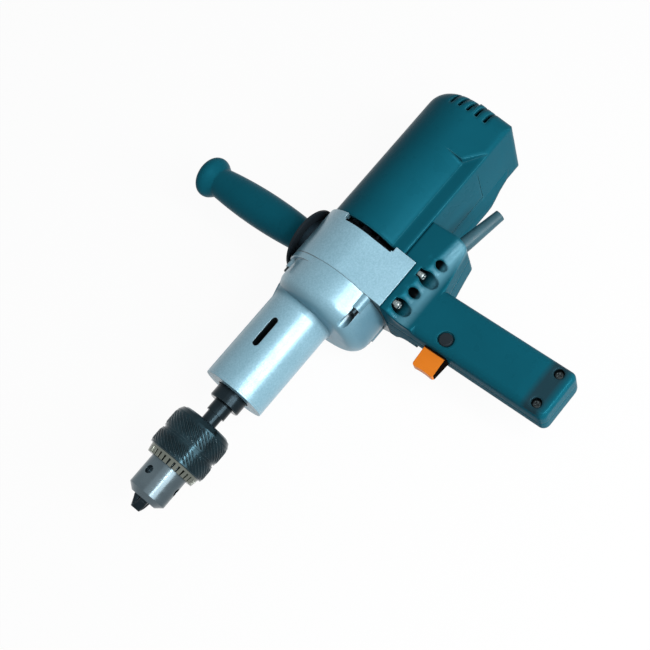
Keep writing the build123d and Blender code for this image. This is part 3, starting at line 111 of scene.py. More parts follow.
def linear(colour: str) -> tuple[float, float, float, float]:
    """Turns an sRGB hex colour to linear light.

    Args:
        colour: Six hex digits after a hash.

    Returns:
        Red, green, blue and full alpha.
    """
    parts = [int(colour[start : start + 2], 16) / 255 for start in (1, 3, 5)]
    # The sRGB curve has a straight foot and a power above it.
    light = [part / 12.92 if part <= 0.04045 else ((part + 0.055) / 1.055) ** 2.4 for part in parts]
    return light[0], light[1], light[2], 1.0


def add_node(
    tree: Tree, kind: str, inputs: dict[int | str, object] | None = None, **settings: object
) -> bpy.types.Node:
    """Adds a node to a tree with its settings and inputs.

    Args:
        tree: Shader or geometry tree.
        kind: The node's type name.
        inputs: What feeds its inputs, by name or number: another node's socket or a constant.
        settings: Properties of the node.

    Returns:
        The new node.
    """
    node = tree.nodes.new(kind)
    for name, value in settings.items():
        setattr(node, name, value)
    for key, value in (inputs or {}).items():
        if isinstance(value, Socket):
            tree.links.new(value, node.inputs[key])
        else:
            node.inputs[key].default_value = value
    return node


def ramp(
    tree: Tree, value: Socket, start: float, end: float, low: float = 0.0, high: float = 1.0
) -> Socket:
    """Maps one stretch of values evenly to another, and holds the ends.

    Args:
        tree: Shader tree.
        value: What is mapped.
        start: Value that gives the low end.
        end: Value that gives the high end.
        low: Result up to the start.
        high: Result from the end on.

    Returns:
        The mapped value.
    """
    ends = {"From Min": start, "From Max": end, "To Min": low, "To Max": high}
    return add_node(tree, "ShaderNodeMapRange", {"Value": value, **ends}).outputs["Result"]


def product(tree: Tree, first: Socket, second: Socket | float) -> Socket:
    """Multiplies a value.

    Args:
        tree: Shader or geometry tree.
        first: The value.
        second: Another value or a constant.

    Returns:
        Their product.
    """
    return add_node(tree, "ShaderNodeMath", {0: first, 1: second}, operation="MULTIPLY").outputs["Value"]


def tinted(tree: Tree, share: Socket, under: Socket | str, over: str) -> Socket:
    """Lays a colour over another one.

    Args:
        tree: Shader tree.
        share: How much of the upper colour shows.
        under: The lower colour, or its sRGB value.
        over: The upper colour's sRGB value.

    Returns:
        The mixed colour.
    """
    base = linear(under) if isinstance(under, str) else under
    # A mix node takes its share at input 0 and its colours at 6 and 7, and gives a colour at output 2.
    return add_node(tree, "ShaderNodeMix", {0: share, 6: base, 7: linear(over)}, data_type="RGBA").outputs[2]


def noise(tree: Tree, place: Socket, size_mm: float, detail: float, roughness: float = 0.5) -> Socket:
    """Draws a cloudy pattern.

    Args:
        tree: Shader tree.
        place: Object coordinates.
        size_mm: Size of its largest clouds.
        detail: How many finer layers it has.
        roughness: How strong these are.

    Returns:
        A height from 0 to 1.
    """
    inputs = {"Vector": place, "Scale": 1 / (size_mm * MM), "Detail": detail, "Roughness": roughness}
    return add_node(tree, "ShaderNodeTexNoise", inputs).outputs["Fac"]


def rounded_normal(tree: Tree, radius_mm: float, rays: int) -> Socket:
    """Finds the normal that a surface would have with rounded edges.

    Args:
        tree: Shader tree.
        radius_mm: Radius of the rounding.
        rays: Rays that look for edges.

    Returns:
        The normal.
    """
    return add_node(tree, "ShaderNodeBevel", {"Radius": radius_mm * MM}, samples=rays).outputs["Normal"]


@dataclass(frozen=True)
class Zone:
    """A part of a surface with a look of its own, told by its place along an axis and its distance from it.

    A limit that isn't given leaves that length free, an empty colour keeps the surface's own, and matte is
    the share of the gloss that is lost.
    """

    colour: str
    axis: str
    side: Side
    along_mm: float | None = None
    radius_mm: float | None = None
    centre_mm: Triple = (0.0, 0.0, 0.0)
    soft_along_mm: float = 0.02
    soft_radius_mm: float = 0.02
    matte: float = 0.0

    def beyond(self, tree: Tree, length: Socket, limit_mm: float, soft_mm: float) -> Socket:
        """Tells on which side of a limit a length lies, with a soft change there.

        Args:
            tree: The material's tree.
            length: The length in metres.
            limit_mm: The limit.
            soft_mm: Half the width of the change.

        Returns:
            1 on the zone's side of the limit, else 0.
        """
        soft = self.side.value * soft_mm
        return ramp(tree, length, (limit_mm - soft) * MM, (limit_mm + soft) * MM)

    def mask(self, tree: Tree, place: Socket) -> Socket:
        """Picks the places whose length along the axis and distance from it keep to their limits.

        Args:
            tree: The material's tree.
            place: Object coordinates.

        Returns:
            1 in the zone, else 0.
        """
        centre = tuple(length * MM for length in self.centre_mm)
        moved = add_node(tree, "ShaderNodeVectorMath", {0: place, 1: centre}, operation="SUBTRACT")
        parts = add_node(tree, "ShaderNodeSeparateXYZ", {"Vector": moved.outputs["Vector"]}).outputs
        rest = {name: parts[name] for name in "XYZ" if name != self.axis}
        across = add_node(tree, "ShaderNodeCombineXYZ", rest).outputs["Vector"]
        radius = add_node(tree, "ShaderNodeVectorMath", {0: across}, operation="LENGTH").outputs["Value"]
        limits = (
            (parts[self.axis], self.along_mm, self.soft_along_mm),
            (radius, self.radius_mm, self.soft_radius_mm),
        )
        masks = [self.beyond(tree, *limit) for limit in limits if limit[1] is not None]
        return masks[0] if len(masks) == 1 else product(tree, *masks)


@dataclass(frozen=True)
class Finish:
    """One real material: its colours, its gloss and the relief that its making leaves.

    Colours are sRGB values, some of them painted shade and painted highlights, and an effect whose colour is
    empty or whose measure is 0 is left out.
    """

    name: str
    light: str
    dark: str
    mottle_mm: float
    roughness: float
    spread: float
    grain: Grain
    grain_mm: float
    relief_mm: float
    metallic: float = 0.0
    specular: float = 0.5
    coat: float = 0.0
    edge: str = ""
    edge_mm: float = 0.6
    fleck: float = 0.0
    zones: tuple[Zone, ...] = ()
    round_mm: float = 0.0
    corner_shade: str = ""
    corner_shade_mm: float = 16.0
    gasket: str = ""
    gasket_at_mm: float = 0.0
    gasket_half_mm: float = 0.0
    polish: Zone | None = None
    polish_specular: float = 0.2

    def relief(self, tree: Tree, place: Socket) -> Socket:
        """Draws the pattern that the making leaves in the surface.

        Args:
            tree: The material's tree.
            place: Object coordinates.

        Returns:
            A height from 0 to 1.
        """
        if self.grain in (Grain.TURNED, Grain.STACKED):
            # A wave band repeats every tenth of pi divided by its scale.
            scale = math.pi / 10 / (self.grain_mm * MM)
            return add_node(
                tree,
                "ShaderNodeTexWave",
                {"Vector": place, "Scale": scale, "Distortion": 0.6, "Detail": 2.0, "Detail Scale": 1.5},
                wave_type="BANDS",
                bands_direction="X",
            ).outputs["Fac"]
        detail = 5.0 if self.grain is Grain.CAST else 2.0
        return noise(tree, place, self.grain_mm, detail, roughness=0.6)

    def own_colour(self, tree: Tree, mottle: Socket, height: Socket) -> Socket:
        """Mixes the dark and the light colour by the mottle and by the relief, whose hollows look darker.

        Args:
            tree: The material's tree.
            mottle: The broad pattern.
            height: The fine relief.

        Returns:
            The colour.
        """
        share = mottle
        if self.fleck:
            flecks = ramp(tree, height, *FLECK_HEIGHTS)
            # A mix node of plain values takes them at inputs 2 and 3.
            share = add_node(tree, "ShaderNodeMix", {0: self.fleck, 2: mottle, 3: flecks}).outputs[0]
        return tinted(tree, share, self.dark, self.light)

    def worn_and_lit_edges(self, tree: Tree, colour: Socket, rounded: Socket, mottle: Socket) -> Socket:
        """Lays the edge colour along the edges, broken up by the mottle: wear, and on the motor housing also
        a painted highlight.

        Args:
            tree: The material's tree.
            colour: The colour so far.
            rounded: The normal with rounded edges.
            mottle: The broad pattern.

        Returns:
            The colour with its edges tinted.
        """
        flat = add_node(tree, "ShaderNodeNewGeometry").outputs["Normal"]
        cosine = add_node(tree, "ShaderNodeVectorMath", {0: rounded, 1: flat}, operation="DOT_PRODUCT")
        worn_and_lit = ramp(tree, cosine.outputs["Value"], *WORN_AND_LIT_COSINES, 0.0, WORN_AND_LIT_SHARE)
        return tinted(tree, product(tree, worn_and_lit, mottle), colour, self.edge)

    def sealed(self, tree: Tree, colour: Socket, place: Socket) -> Socket:
        """Draws the line of a gasket across the drill.

        Args:
            tree: The material's tree.
            colour: The colour so far.
            place: Object coordinates.

        Returns:
            The colour with the gasket.
        """
        along = add_node(tree, "ShaderNodeSeparateXYZ", {"Vector": place}).outputs["X"]
        inputs = {0: along, 1: self.gasket_at_mm * MM, 2: self.gasket_half_mm * MM}
        line = add_node(tree, "ShaderNodeMath", inputs, operation="COMPARE").outputs["Value"]
        return tinted(tree, line, colour, self.gasket)

    def shade_corners(self, tree: Tree, colour: Socket) -> Socket:
        """Paints shade as a darker colour into the corners that see little of the sky.

        Args:
            tree: The material's tree.
            colour: The colour so far.

        Returns:
            The colour with the painted shade.
        """
        reach = {"Distance": self.corner_shade_mm * MM}
        sky = add_node(tree, "ShaderNodeAmbientOcclusion", reach, samples=CORNER_SHADE_RAYS).outputs["AO"]
        return tinted(tree, ramp(tree, sky, *CORNER_SHADE_SKY, 0.0, CORNER_SHADE_SHARE), colour, self.corner_shade)

    def gloss(self, tree: Tree, place: Socket, masks: list[Socket]) -> dict[str, Socket | float]:
        """Sets the gloss, higher in the polished zone and lower in the matte ones.

        Args:
            tree: The material's tree.
            place: Object coordinates.
            masks: The zones' masks in their order.

        Returns:
            What feeds the surface's inputs for gloss, by name.
        """
        glosses = {"Specular IOR Level": self.specular, "Coat Weight": self.coat, "Metallic": self.metallic}
        if self.polish:
            inside = self.polish.mask(tree, place)
            levels = (self.specular, self.polish_specular)
            glosses["Specular IOR Level"] = ramp(tree, inside, 0.0, 1.0, *levels)
        for zone, inside in zip(self.zones, masks):
            if zone.matte:
                left = ramp(tree, inside, 0.0, 1.0, 1.0, 1.0 - zone.matte)
                glosses = {name: product(tree, left, gloss) for name, gloss in glosses.items()}
        return glosses

    def material(self) -> Material:
        """Builds the material.

        Returns:
            A procedural material on object coordinates.
        """
        material = bpy.data.materials.new(self.name)
        material.use_nodes = True
        tree = material.node_tree
        tree.nodes.clear()
        place = add_node(tree, "ShaderNodeTexCoord").outputs["Object"]
        height = self.relief(tree, place)
        mottle = noise(tree, place, self.mottle_mm, detail=4.0, roughness=0.55)
        rounded = rounded_normal(tree, self.edge_mm, EDGE_RAYS)
        colour = self.own_colour(tree, mottle, height)
        if self.edge:
            colour = self.worn_and_lit_edges(tree, colour, rounded, mottle)
        masks = [zone.mask(tree, place) for zone in self.zones]
        for zone, inside in zip(self.zones, masks):
            if zone.colour:
                colour = tinted(tree, inside, colour, zone.colour)
        if self.gasket:
            colour = self.sealed(tree, colour, place)
        if self.corner_shade:
            colour = self.shade_corners(tree, colour)
        smudge = noise(tree, place, self.mottle_mm / SMUDGES_PER_MOTTLE, detail=3.0)
        levels = (self.roughness - self.spread, self.roughness + self.spread)
        if self.round_mm:
            rounded = rounded_normal(tree, self.round_mm, ROUND_RAYS)
        bump = add_node(
            tree,
            "ShaderNodeBump",
            {"Strength": 1.0, "Distance": self.relief_mm * MM, "Height": height, "Normal": rounded},
        ).outputs["Normal"]
        surface = add_node(
            tree,
            "ShaderNodeBsdfPrincipled",
            {
                "Base Color": colour,
                "Roughness": ramp(tree, smudge, *SMUDGE_HEIGHTS, *levels),
                "Normal": bump,
                "Coat Roughness": COAT_ROUGHNESS,
                **self.gloss(tree, place, masks),
            },
        ).outputs["BSDF"]
        add_node(tree, "ShaderNodeOutputMaterial", {"Surface": surface})
        return material


# Glass-filled nylon from a spark-eroded mould: a deep even teal, satin, with a fine pebble. The pebble is
# drawn at twice its real size so that it shows.
# Its darkening in corners and pockets is painted shade.
TEAL = Finish(
    "teal_nylon_moulded", light="#115F71", dark="#0C5161", mottle_mm=60, roughness=0.30, spread=0.05,
    grain=Grain.MOULDED, grain_mm=0.55, relief_mm=0.012, metallic=0.12, specular=0.015,
    edge="#3A93A6", edge_mm=0.9, round_mm=3.5, corner_shade="#060B0D",
)
# The motor housing's own moulding, with rounder edges, paler edges that are both wear and a painted
# highlight, and less painted shade in its corners.
HOUSING_TEAL = replace(
    TEAL, name="teal_nylon_housing", metallic=0.09, edge="#57A9BC", edge_mm=1.1, round_mm=5.5,
    corner_shade="#08262E", corner_shade_mm=7.0,
)
# The handle's own moulding: deep screw pockets painted near black as the shade where no light reaches, over
# them a ridge that the hand has polished, a slope with a painted highlight, a band across the end painted
# darker as shade, and a front made matte and painted darker as shade.
DEEP_POCKET_SHADE = tuple(
    Zone("#070B0D", "Y", Side.SHORT_OF, 82.5, radius_mm=4.45, centre_mm=(x, 0.0, z), soft_along_mm=1.5)
    for x in (-192.5, -159.1)
    for z in (20.8, -20.8)
)
RIDGE = Zone("", "X", Side.SHORT_OF, radius_mm=7.0, centre_mm=(0.0, 86.0, 19.5), soft_radius_mm=4.0)
# A paler colour on the slope below the ridge: a painted highlight.
SLOPE_HIGHLIGHT = Zone("#4C8496", "X", Side.SHORT_OF, radius_mm=4.5, centre_mm=(0.0, 88.5, 18.3), soft_radius_mm=3.0)
# A darker band across the end by its screws: painted shade.
END_BAND_SHADE = Zone(
    "#213D47", "X", Side.SHORT_OF, radius_mm=8.0, centre_mm=(0.0, 221.0, 15.0), soft_radius_mm=3.0
)
# A darker colour on the handle's front: painted shade, with the front also made matte.
HANDLE_FRONT_SHADE = Zone("#0F5061", "X", Side.PAST, -131.2, matte=0.7)
HANDLE_TEAL = replace(
    TEAL, name="teal_nylon_handle", zones=(SLOPE_HIGHLIGHT, *DEEP_POCKET_SHADE, END_BAND_SHADE, HANDLE_FRONT_SHADE), polish=RIDGE
)
# Places on the castings: the bore of the nose painted dark as the shade inside it, its dull front face, the
# lip of the slot behind the rear casting painted near black as the shade in the gap and made matte, and the
# boss of the side grip painted darker as the shade between the disc and the casting and made matte.
NOSE_BORE_SHADE = Zone("#12181B", "X", Side.SHORT_OF, -1.5, radius_mm=29.0)
NOSE_FACE = Zone("#8FBACC", "X", Side.PAST, -0.15, matte=0.75)
# Near black on the casting's lip by the slot: painted shade of the gap.
VENT_GAP_SHADE = Zone("#0A0D0F", "X", Side.SHORT_OF, -173.9, radius_mm=25.0, centre_mm=(0.0, 21.0, 43.0), matte=1.0)
# A darker colour on the side grip's boss: painted shade between the disc and the casting.
GRIP_BOSS_SHADE = Zone(
    "#3C5260", "Y", Side.SHORT_OF, -24.0, radius_mm=22.3, centre_mm=(-153.4, 0.0, 0.0), matte=0.8
)
# Die-cast aluminium under silver lacquer: pale blue grey, a soft metallic gloss and a visible orange peel.
# Its darkening in corners is painted shade.
SILVER = Finish(
    "silver_lacquered_casting", light="#8FBACC", dark="#6998AA", mottle_mm=45, roughness=0.33, spread=0.05,
    grain=Grain.CAST, grain_mm=1.5, relief_mm=0.06, metallic=0.3, specular=0.8, coat=0.3,
    edge="#D6E6EC", edge_mm=0.8, fleck=0.5, zones=(NOSE_BORE_SHADE, NOSE_FACE, VENT_GAP_SHADE, GRIP_BOSS_SHADE),
    corner_shade="#131A1D", gasket="#3F5A64", gasket_at_mm=-131.0, gasket_half_mm=0.45,
)
# The front casting's own lacquer, made matte and painted darker: as the shadow under the handle on its side,
# and as shade in the crease behind the nose.
CASE_SIDE_SHADOW = Zone("#527C8E", "Y", Side.PAST, 55.0, soft_along_mm=9.0, matte=0.8)
# A darker colour in the crease behind the nose: painted shade.
CREASE_SHADE = Zone(
    "#6B98AA", "X", Side.PAST, -98.5, radius_mm=30.8, soft_along_mm=4.0, soft_radius_mm=0.6, matte=0.8
)
FRONT_SILVER = replace(SILVER, name="silver_lacquered_front", zones=(*SILVER.zones, CASE_SIDE_SHADOW, CREASE_SHADE))
# Black nylon: nearly neutral, satin, the same mould pebble.
BLACK = Finish(
    "black_nylon_moulded", light="#2C343A", dark="#1D2328", mottle_mm=40, roughness=0.36, spread=0.06,
    grain=Grain.MOULDED, grain_mm=0.55, relief_mm=0.012, specular=0.06,
)
# The trigger's end, painted near black, and its root, painted with the shadow of the gap along the handle;
# both made matte.
TRIGGER_END = Zone("#140D0A", "Y", Side.PAST, 134.6, matte=1.0)
TRIGGER_ROOT_SHADOW = Zone("#1C120C", "X", Side.SHORT_OF, -128.7, soft_along_mm=0.4, matte=1.0)
# Acetal dyed orange: smooth, bright and waxy.
ORANGE = Finish(
    "orange_acetal_moulded", light="#F08722", dark="#E57915", mottle_mm=20, roughness=0.38, spread=0.05,
    grain=Grain.MOULDED, grain_mm=0.5, relief_mm=0.006, specular=0.25, edge="#F7A95C",
    zones=(TRIGGER_END, TRIGGER_ROOT_SHADOW),
)
# Chloroprene rubber: dull dark grey with a dusty bloom.
RUBBER = Finish(
    "black_rubber_moulded", light="#3F6C7A", dark="#264149", mottle_mm=15, roughness=0.40, spread=0.08,
    grain=Grain.MOULDED, grain_mm=0.8, relief_mm=0.02, specular=0.3,
)
# Blackened steel: near black with a blue cast, polished on the high places.
BLUED = Finish(
    "blackened_steel_ground", light="#202E35", dark="#10171A", mottle_mm=12, roughness=0.22, spread=0.05,
    grain=Grain.GROUND, grain_mm=0.7, relief_mm=0.006, metallic=0.9, edge="#8FA3AB", edge_mm=0.4,
)
# The chuck sleeve's blackened steel, with a ring of teeth that the key has rubbed to a dull cream.
KEY_TEETH = Zone("#6C716A", "X", Side.PAST, 76.6, radius_mm=23.4)
RUBBED = replace(
    BLUED, name="blackened_steel_rubbed", light="#253E47", dark="#090D0F", roughness=0.20, zones=(KEY_TEETH,)
)
# Bright turned steel: neutral grey with fine tool rings round the axis.
BRIGHT = Finish(
    "bright_steel_turned", light="#5E6C73", dark="#4C595F", mottle_mm=15, roughness=0.24, spread=0.05,
    grain=Grain.TURNED, grain_mm=0.5, relief_mm=0.004, metallic=1.0,
)
# Stacked silicon-steel sheets of half a millimetre, drawn at twice that so that they show.
LAMINATED = Finish(
    "core_steel_laminated", light="#74797C", dark="#5F6467", mottle_mm=10, roughness=0.45, spread=0.08,
    grain=Grain.STACKED, grain_mm=1.0, relief_mm=0.08, metallic=0.8,
)
# Enamelled copper wire: warm brown red, glossy, in close turns.
COPPER = Finish(
    "copper_wire_enamelled", light="#B5672F", dark="#8F4A1F", mottle_mm=6, roughness=0.28, spread=0.06,
    grain=Grain.STACKED, grain_mm=0.9, relief_mm=0.25, metallic=0.7,
)
# Sintered bronze: dull gold with fine pores.
BRONZE = Finish(
    "bronze_sintered", light="#A8834A", dark="#8E6C39", mottle_mm=8, roughness=0.40, spread=0.06,
    grain=Grain.CAST, grain_mm=0.5, relief_mm=0.02, metallic=0.9,
)
# Pressed carbon: dull black with a grey shine.
CARBON = Finish(
    "carbon_pressed", light="#2B2B2D", dark="#1D1D1F", mottle_mm=5, roughness=0.50, spread=0.08,
    grain=Grain.MOULDED, grain_mm=0.4, relief_mm=0.01,
)
# Zinc-plated screw steel: bright with a faint straw cast.
ZINC = Finish(
    "zinc_plated_steel", light="#C9CDC9", dark="#AEB3AE", mottle_mm=5, roughness=0.28, spread=0.06,
    grain=Grain.GROUND, grain_mm=0.5, relief_mm=0.004, metallic=1.0,
)
# The same plating in a darker colour, on the screws in the handle's pockets.
DARKER_ZINC = replace(ZINC, name="zinc_plated_darker", light="#8B9798", dark="#6E797B")
# Phosphated screw steel: dark grey and dull, with a faint shine on the dome.
PHOSPHATED = Finish(
    "phosphated_steel", light="#3B4345", dark="#272D2F", mottle_mm=5, roughness=0.36, spread=0.06,
    grain=Grain.GROUND, grain_mm=0.5, relief_mm=0.006, metallic=0.9,
)

WEARERS: dict[Finish, list[str]] = {
    TEAL: ["side_grip"],
    HOUSING_TEAL: ["motor_housing"],
    HANDLE_TEAL: ["upper_handle_shell", "lower_handle_shell"],
    SILVER: ["rear_gear_case", "bearing_plate"],
    FRONT_SILVER: ["front_gear_case"],
    BLACK: [
        "side_grip_disc", "lock_button", "trigger_switch", "cord_clamp", "cooling_fan", "brush_holders",
        "spindle_seal",
    ],
    ORANGE: ["trigger"],
    RUBBER: ["cord_guard"],
    BLUED: [
        "spindle", "chuck_arbor", "chuck_jaw_1", "chuck_jaw_2", "chuck_jaw_3", "chuck_nut",
        "long_case_screws", "short_case_screws",
    ],
    RUBBED: ["chuck_sleeve"],
    BRIGHT: [
        "chuck_body", "armature_shaft", "layshaft", "layshaft_wheel", "layshaft_pinion", "spindle_wheel",
        "side_grip_stud", "armature_front_bearing", "armature_rear_bearing", "spindle_front_bearing",
    ],
    LAMINATED: ["stator_core", "armature_core"],
    COPPER: ["field_coils", "armature_winding", "commutator"],
    BRONZE: ["layshaft_rear_bush", "layshaft_front_bush", "spindle_rear_bush"],
    CARBON: ["carbon_brushes"],
    ZINC: ["cord_clamp_screws", "brush_springs"],
    DARKER_ZINC: ["handle_mount_screws"],
    PHOSPHATED: ["handle_end_screws"],
}


class Wardrobe:
    """Holds each finish's material once and puts it on the solids."""

    def __init__(self) -> None:
        """Starts with no material made."""
        self.made: dict[Finish, Material] = {}

    def of(self, finish: Finish) -> Material:
        """Gives a finish's material, made when first asked for.

        Args:
            finish: The finish wanted.

        Returns:
            Its material.
        """
        if finish not in self.made:
            self.made[finish] = finish.material()
        return self.made[finish]

    def dress_solids(self) -> None:
        """Puts each solid's finish on it."""
        for finish, names in WEARERS.items():
            for name in names:
                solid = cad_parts[name].data
                solid.materials.clear()
                solid.materials.append(self.of(finish))
                LOG.info("%s wears %s", name, finish.name)


def placed(name: str, data: bpy.types.ID) -> bpy.types.Object:
    """Puts a new object in the scene at the origin.

    Args:
        name: The object's name.
        data: Its mesh, lamp or camera.

    Returns:
        The object.
    """
    new = bpy.data.objects.new(name, data)
    bpy.context.collection.objects.link(new)
    return new


def plain_piece(name: str, mesh: Mesh, body: Body) -> bpy.types.Object:
    """Places a finished mesh in the scene on the body that carries it.

    Args:
        name: The piece's name.
        mesh: Its mesh, with its place in its points.
        body: The body it rides on.

    Returns:
        The new object at the origin.
    """
    piece = placed(name, mesh)
    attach(piece, body.value)
    LOG.info("%s rides on %s with %d faces", name, body.value, len(mesh.polygons))
    return piece


def turned(along: float, reach: float, angle: float) -> Triple:
    """Finds a point round the spindle's axis.

    Args:
        along: Its place along the axis.
        reach: Its distance from the axis.
        angle: Its angle round the axis, from +Y.

    Returns:
        The point.
    """
    return along, reach * math.cos(angle), reach * math.sin(angle)


def skinned_mesh(name: str, rows: list[list[Triple]], joined: bool = False, capped: bool = False) -> Mesh:
    """Lays faces from each row of points to the next.

    Args:
        name: The mesh's name.
        rows: Rows of points, each a closed loop.
        joined: Whether the last row meets the first.
        capped: Whether a face closes the first row and another one the last.

    Returns:
        The mesh, with its faces turned outwards.
    """
    shape = bmesh.new()
    loops = [[shape.verts.new(point) for point in row] for row in rows]
    for near, far in zip(loops, loops[1:] + loops[:1] if joined else loops[1:]):
        for corner in range(len(near)):
            following = (corner + 1) % len(near)
            shape.faces.new((near[corner], near[following], far[following], far[corner]))
    if capped:
        shape.faces.new(loops[0])
        shape.faces.new(loops[-1])
    bmesh.ops.remove_doubles(shape, verts=shape.verts, dist=WELD)
    bmesh.ops.recalc_face_normals(shape, faces=shape.faces)
    mesh = bpy.data.meshes.new(name)
    shape.to_mesh(mesh)
    shape.free()
    return mesh


def open_tree(name: str, **inputs: str) -> tuple[Tree, bpy.types.bpy_prop_collection]:
    """Starts a geometry tree that repeats a pattern.

    Args:
        name: The tree's name.
        inputs: Socket types of further inputs, by name.

    Returns:
        The tree and the sockets of its inputs, among them Geometry and Pattern.
    """
    tree = bpy.data.node_groups.new(name, "GeometryNodeTree")
    kinds = {"Geometry": "NodeSocketGeometry", "Pattern": "NodeSocketObject", **inputs}
    for label, kind in kinds.items():
        tree.interface.new_socket(label, in_out="INPUT", socket_type=kind)
    tree.interface.new_socket("Geometry", in_out="OUTPUT", socket_type="NodeSocketGeometry")
    return tree, add_node(tree, "NodeGroupInput").outputs


def close_tree(tree: Tree, pattern: Socket, points: Socket, turns: Socket, material: Material) -> None:
    """Ends a geometry tree: sets the pattern on the points as plain faces of one material.

    Args:
        tree: The tree.
        pattern: The object that is repeated.
        points: Where it is set.
        turns: How each copy is turned.
        material: What the copies are made of.
    """
    shape = add_node(tree, "GeometryNodeObjectInfo", {"Object": pattern}).outputs["Geometry"]
    copies = add_node(
        tree, "GeometryNodeInstanceOnPoints", {"Points": points, "Instance": shape, "Rotation": turns}
    ).outputs[0]
    solid = add_node(tree, "GeometryNodeRealizeInstances", {0: copies}).outputs[0]
    dressed = add_node(tree, "GeometryNodeSetMaterial", {"Geometry": solid, "Material": material}).outputs[0]
    add_node(tree, "NodeGroupOutput", {0: dressed})


def grown_mesh(name: str, tree: Tree, seed_mesh: Mesh, pattern: Mesh, values: dict[str, int]) -> Mesh:
    """Runs a geometry tree over a seed mesh and keeps the plain result.

    Args:
        name: Name of the new mesh.
        tree: Geometry tree with named inputs.
        seed_mesh: What the tree starts from.
        pattern: What it repeats.
        values: Values of the tree's further inputs by name.

    Returns:
        The realized mesh.
    """
    holder = placed(f"{name}_seed", seed_mesh)
    model = placed(f"{name}_pattern", pattern)
    modifier = holder.modifiers.new("grow", "NODES")
    modifier.node_group = tree
    given = {"Pattern": model, **values}
    for item in tree.interface.items_tree:
        if item.item_type == "SOCKET" and item.in_out == "INPUT" and item.name in given:
            modifier[item.identifier] = given[item.name]
    seen = holder.evaluated_get(bpy.context.evaluated_depsgraph_get())
    mesh = bpy.data.meshes.new_from_object(seen)
    mesh.name = name
    holder.modifiers.remove(modifier)
    bpy.data.objects.remove(holder)
    bpy.data.objects.remove(model)
    return mesh


@dataclass
class ChuckSleeve:
    """Slanted ribs in two bands round the chuck's sleeve."""

    radius: float = 27.6 * MM
    bands: tuple[tuple[float, float], ...] = ((41.2 * MM, 56.8 * MM), (61.6 * MM, 74.9 * MM))
    ribs: int = 34
    slant: float = math.radians(55)
    height: float = 0.7 * MM
    root: float = 0.1 * MM
    foot: float = 3.2 * MM
    crest: float = 0.8 * MM
    steps: int = 8
    run_out: float = 0.15

    def rib(self, start: float, end: float) -> Mesh:
        """Shapes one rib, which winds round the axis and runs out to nothing at both ends.

        Args:
            start: Where the band starts along the axis.
            end: Where it ends.

        Returns:
            A closed mesh at the sleeve's radius.
        """
        feet = (-self.foot / 2, self.foot / 2)
        crests = (-self.crest / 2, self.crest / 2)
        section = ((feet[0], False), (crests[0], True), (crests[1], True), (feet[1], False))
        rows = []
        for step in range(self.steps + 1):
            share = step / self.steps
            along = (end - start) * share
            turn = -math.tan(self.slant) * along / self.radius
            rise = self.height * min(1.0, share / self.run_out, (1 - share) / self.run_out)
            row = []
            for offset, high in section:
                reach = self.radius + (rise if high else -self.root)
                row.append(turned(start + along, reach, turn + offset / self.radius))
            rows.append(row)
        return skinned_mesh("sleeve_rib", rows, capped=True)

    def tree(self, material: Material) -> Tree:
        """Builds the tree that repeats a rib evenly round the axis.

        Args:
            material: What the ribs are made of.

        Returns:
            A geometry tree with the inputs Pattern and Count.
        """
        tree, given = open_tree("knurl_band", Count="NodeSocketInt")
        points = add_node(tree, "GeometryNodePoints", {"Count": given["Count"]}).outputs[0]
        index = add_node(tree, "GeometryNodeInputIndex").outputs[0]
        share = add_node(tree, "ShaderNodeMath", {0: index, 1: given["Count"]}, operation="DIVIDE").outputs[0]
        turn = add_node(
            tree,
            "FunctionNodeAxisAngleToRotation",
            {"Axis": (1.0, 0.0, 0.0), "Angle": product(tree, share, math.tau)},
        ).outputs[0]
        close_tree(tree, given["Pattern"], points, turn, material)
        return tree

    def build(self, wardrobe: Wardrobe) -> None:
        """Cuts both bands and sets them on the sleeve.

        Args:
            wardrobe: Where the materials are.
        """
        tree = self.tree(wardrobe.of(RUBBED))
        for number, (start, end) in enumerate(self.bands, 1):
            name = f"sleeve_knurl_{number}"
            seed_mesh = bpy.data.meshes.new(f"{name}_start")
            mesh = grown_mesh(name, tree, seed_mesh, self.rib(start, end), {"Count": self.ribs})
            plain_piece(name, mesh, Body.SLEEVE)


@dataclass
class NoseRim:
    """The nose barrel's square rim, and the thin cover that closes its front round the spindle's collar."""

    name: str = "nose_rim"
    steps: int = 128
    sharp_angle: float = math.radians(30)
    # Each corner of the rim's section, along the drill and out from its axis.
    section: tuple[tuple[float, float], ...] = (
        (-2.4 * MM, 26.0 * MM),
        (-2.4 * MM, 30.01 * MM),
        (-0.3 * MM, 30.01 * MM),
        (0.01 * MM, 29.7 * MM),
        (0.01 * MM, 16.2 * MM),
        (-1.5 * MM, 16.2 * MM),
        (-1.5 * MM, 26.0 * MM),
    )

    def build(self, wardrobe: Wardrobe) -> None:
        """Turns the section round the axis and sets the rim on the nose.

        Args:
            wardrobe: Where the materials are.
        """
        angles = [math.tau * step / self.steps for step in range(self.steps)]
        rows = [[turned(along, reach, angle) for along, reach in self.section] for angle in angles]
        mesh = skinned_mesh(self.name, rows, joined=True)
        mesh.shade_smooth()
        mesh.set_sharp_from_angle(angle=self.sharp_angle)
        mesh.materials.append(wardrobe.of(SILVER))
        plain_piece(self.name, mesh, Body.HOUSING)


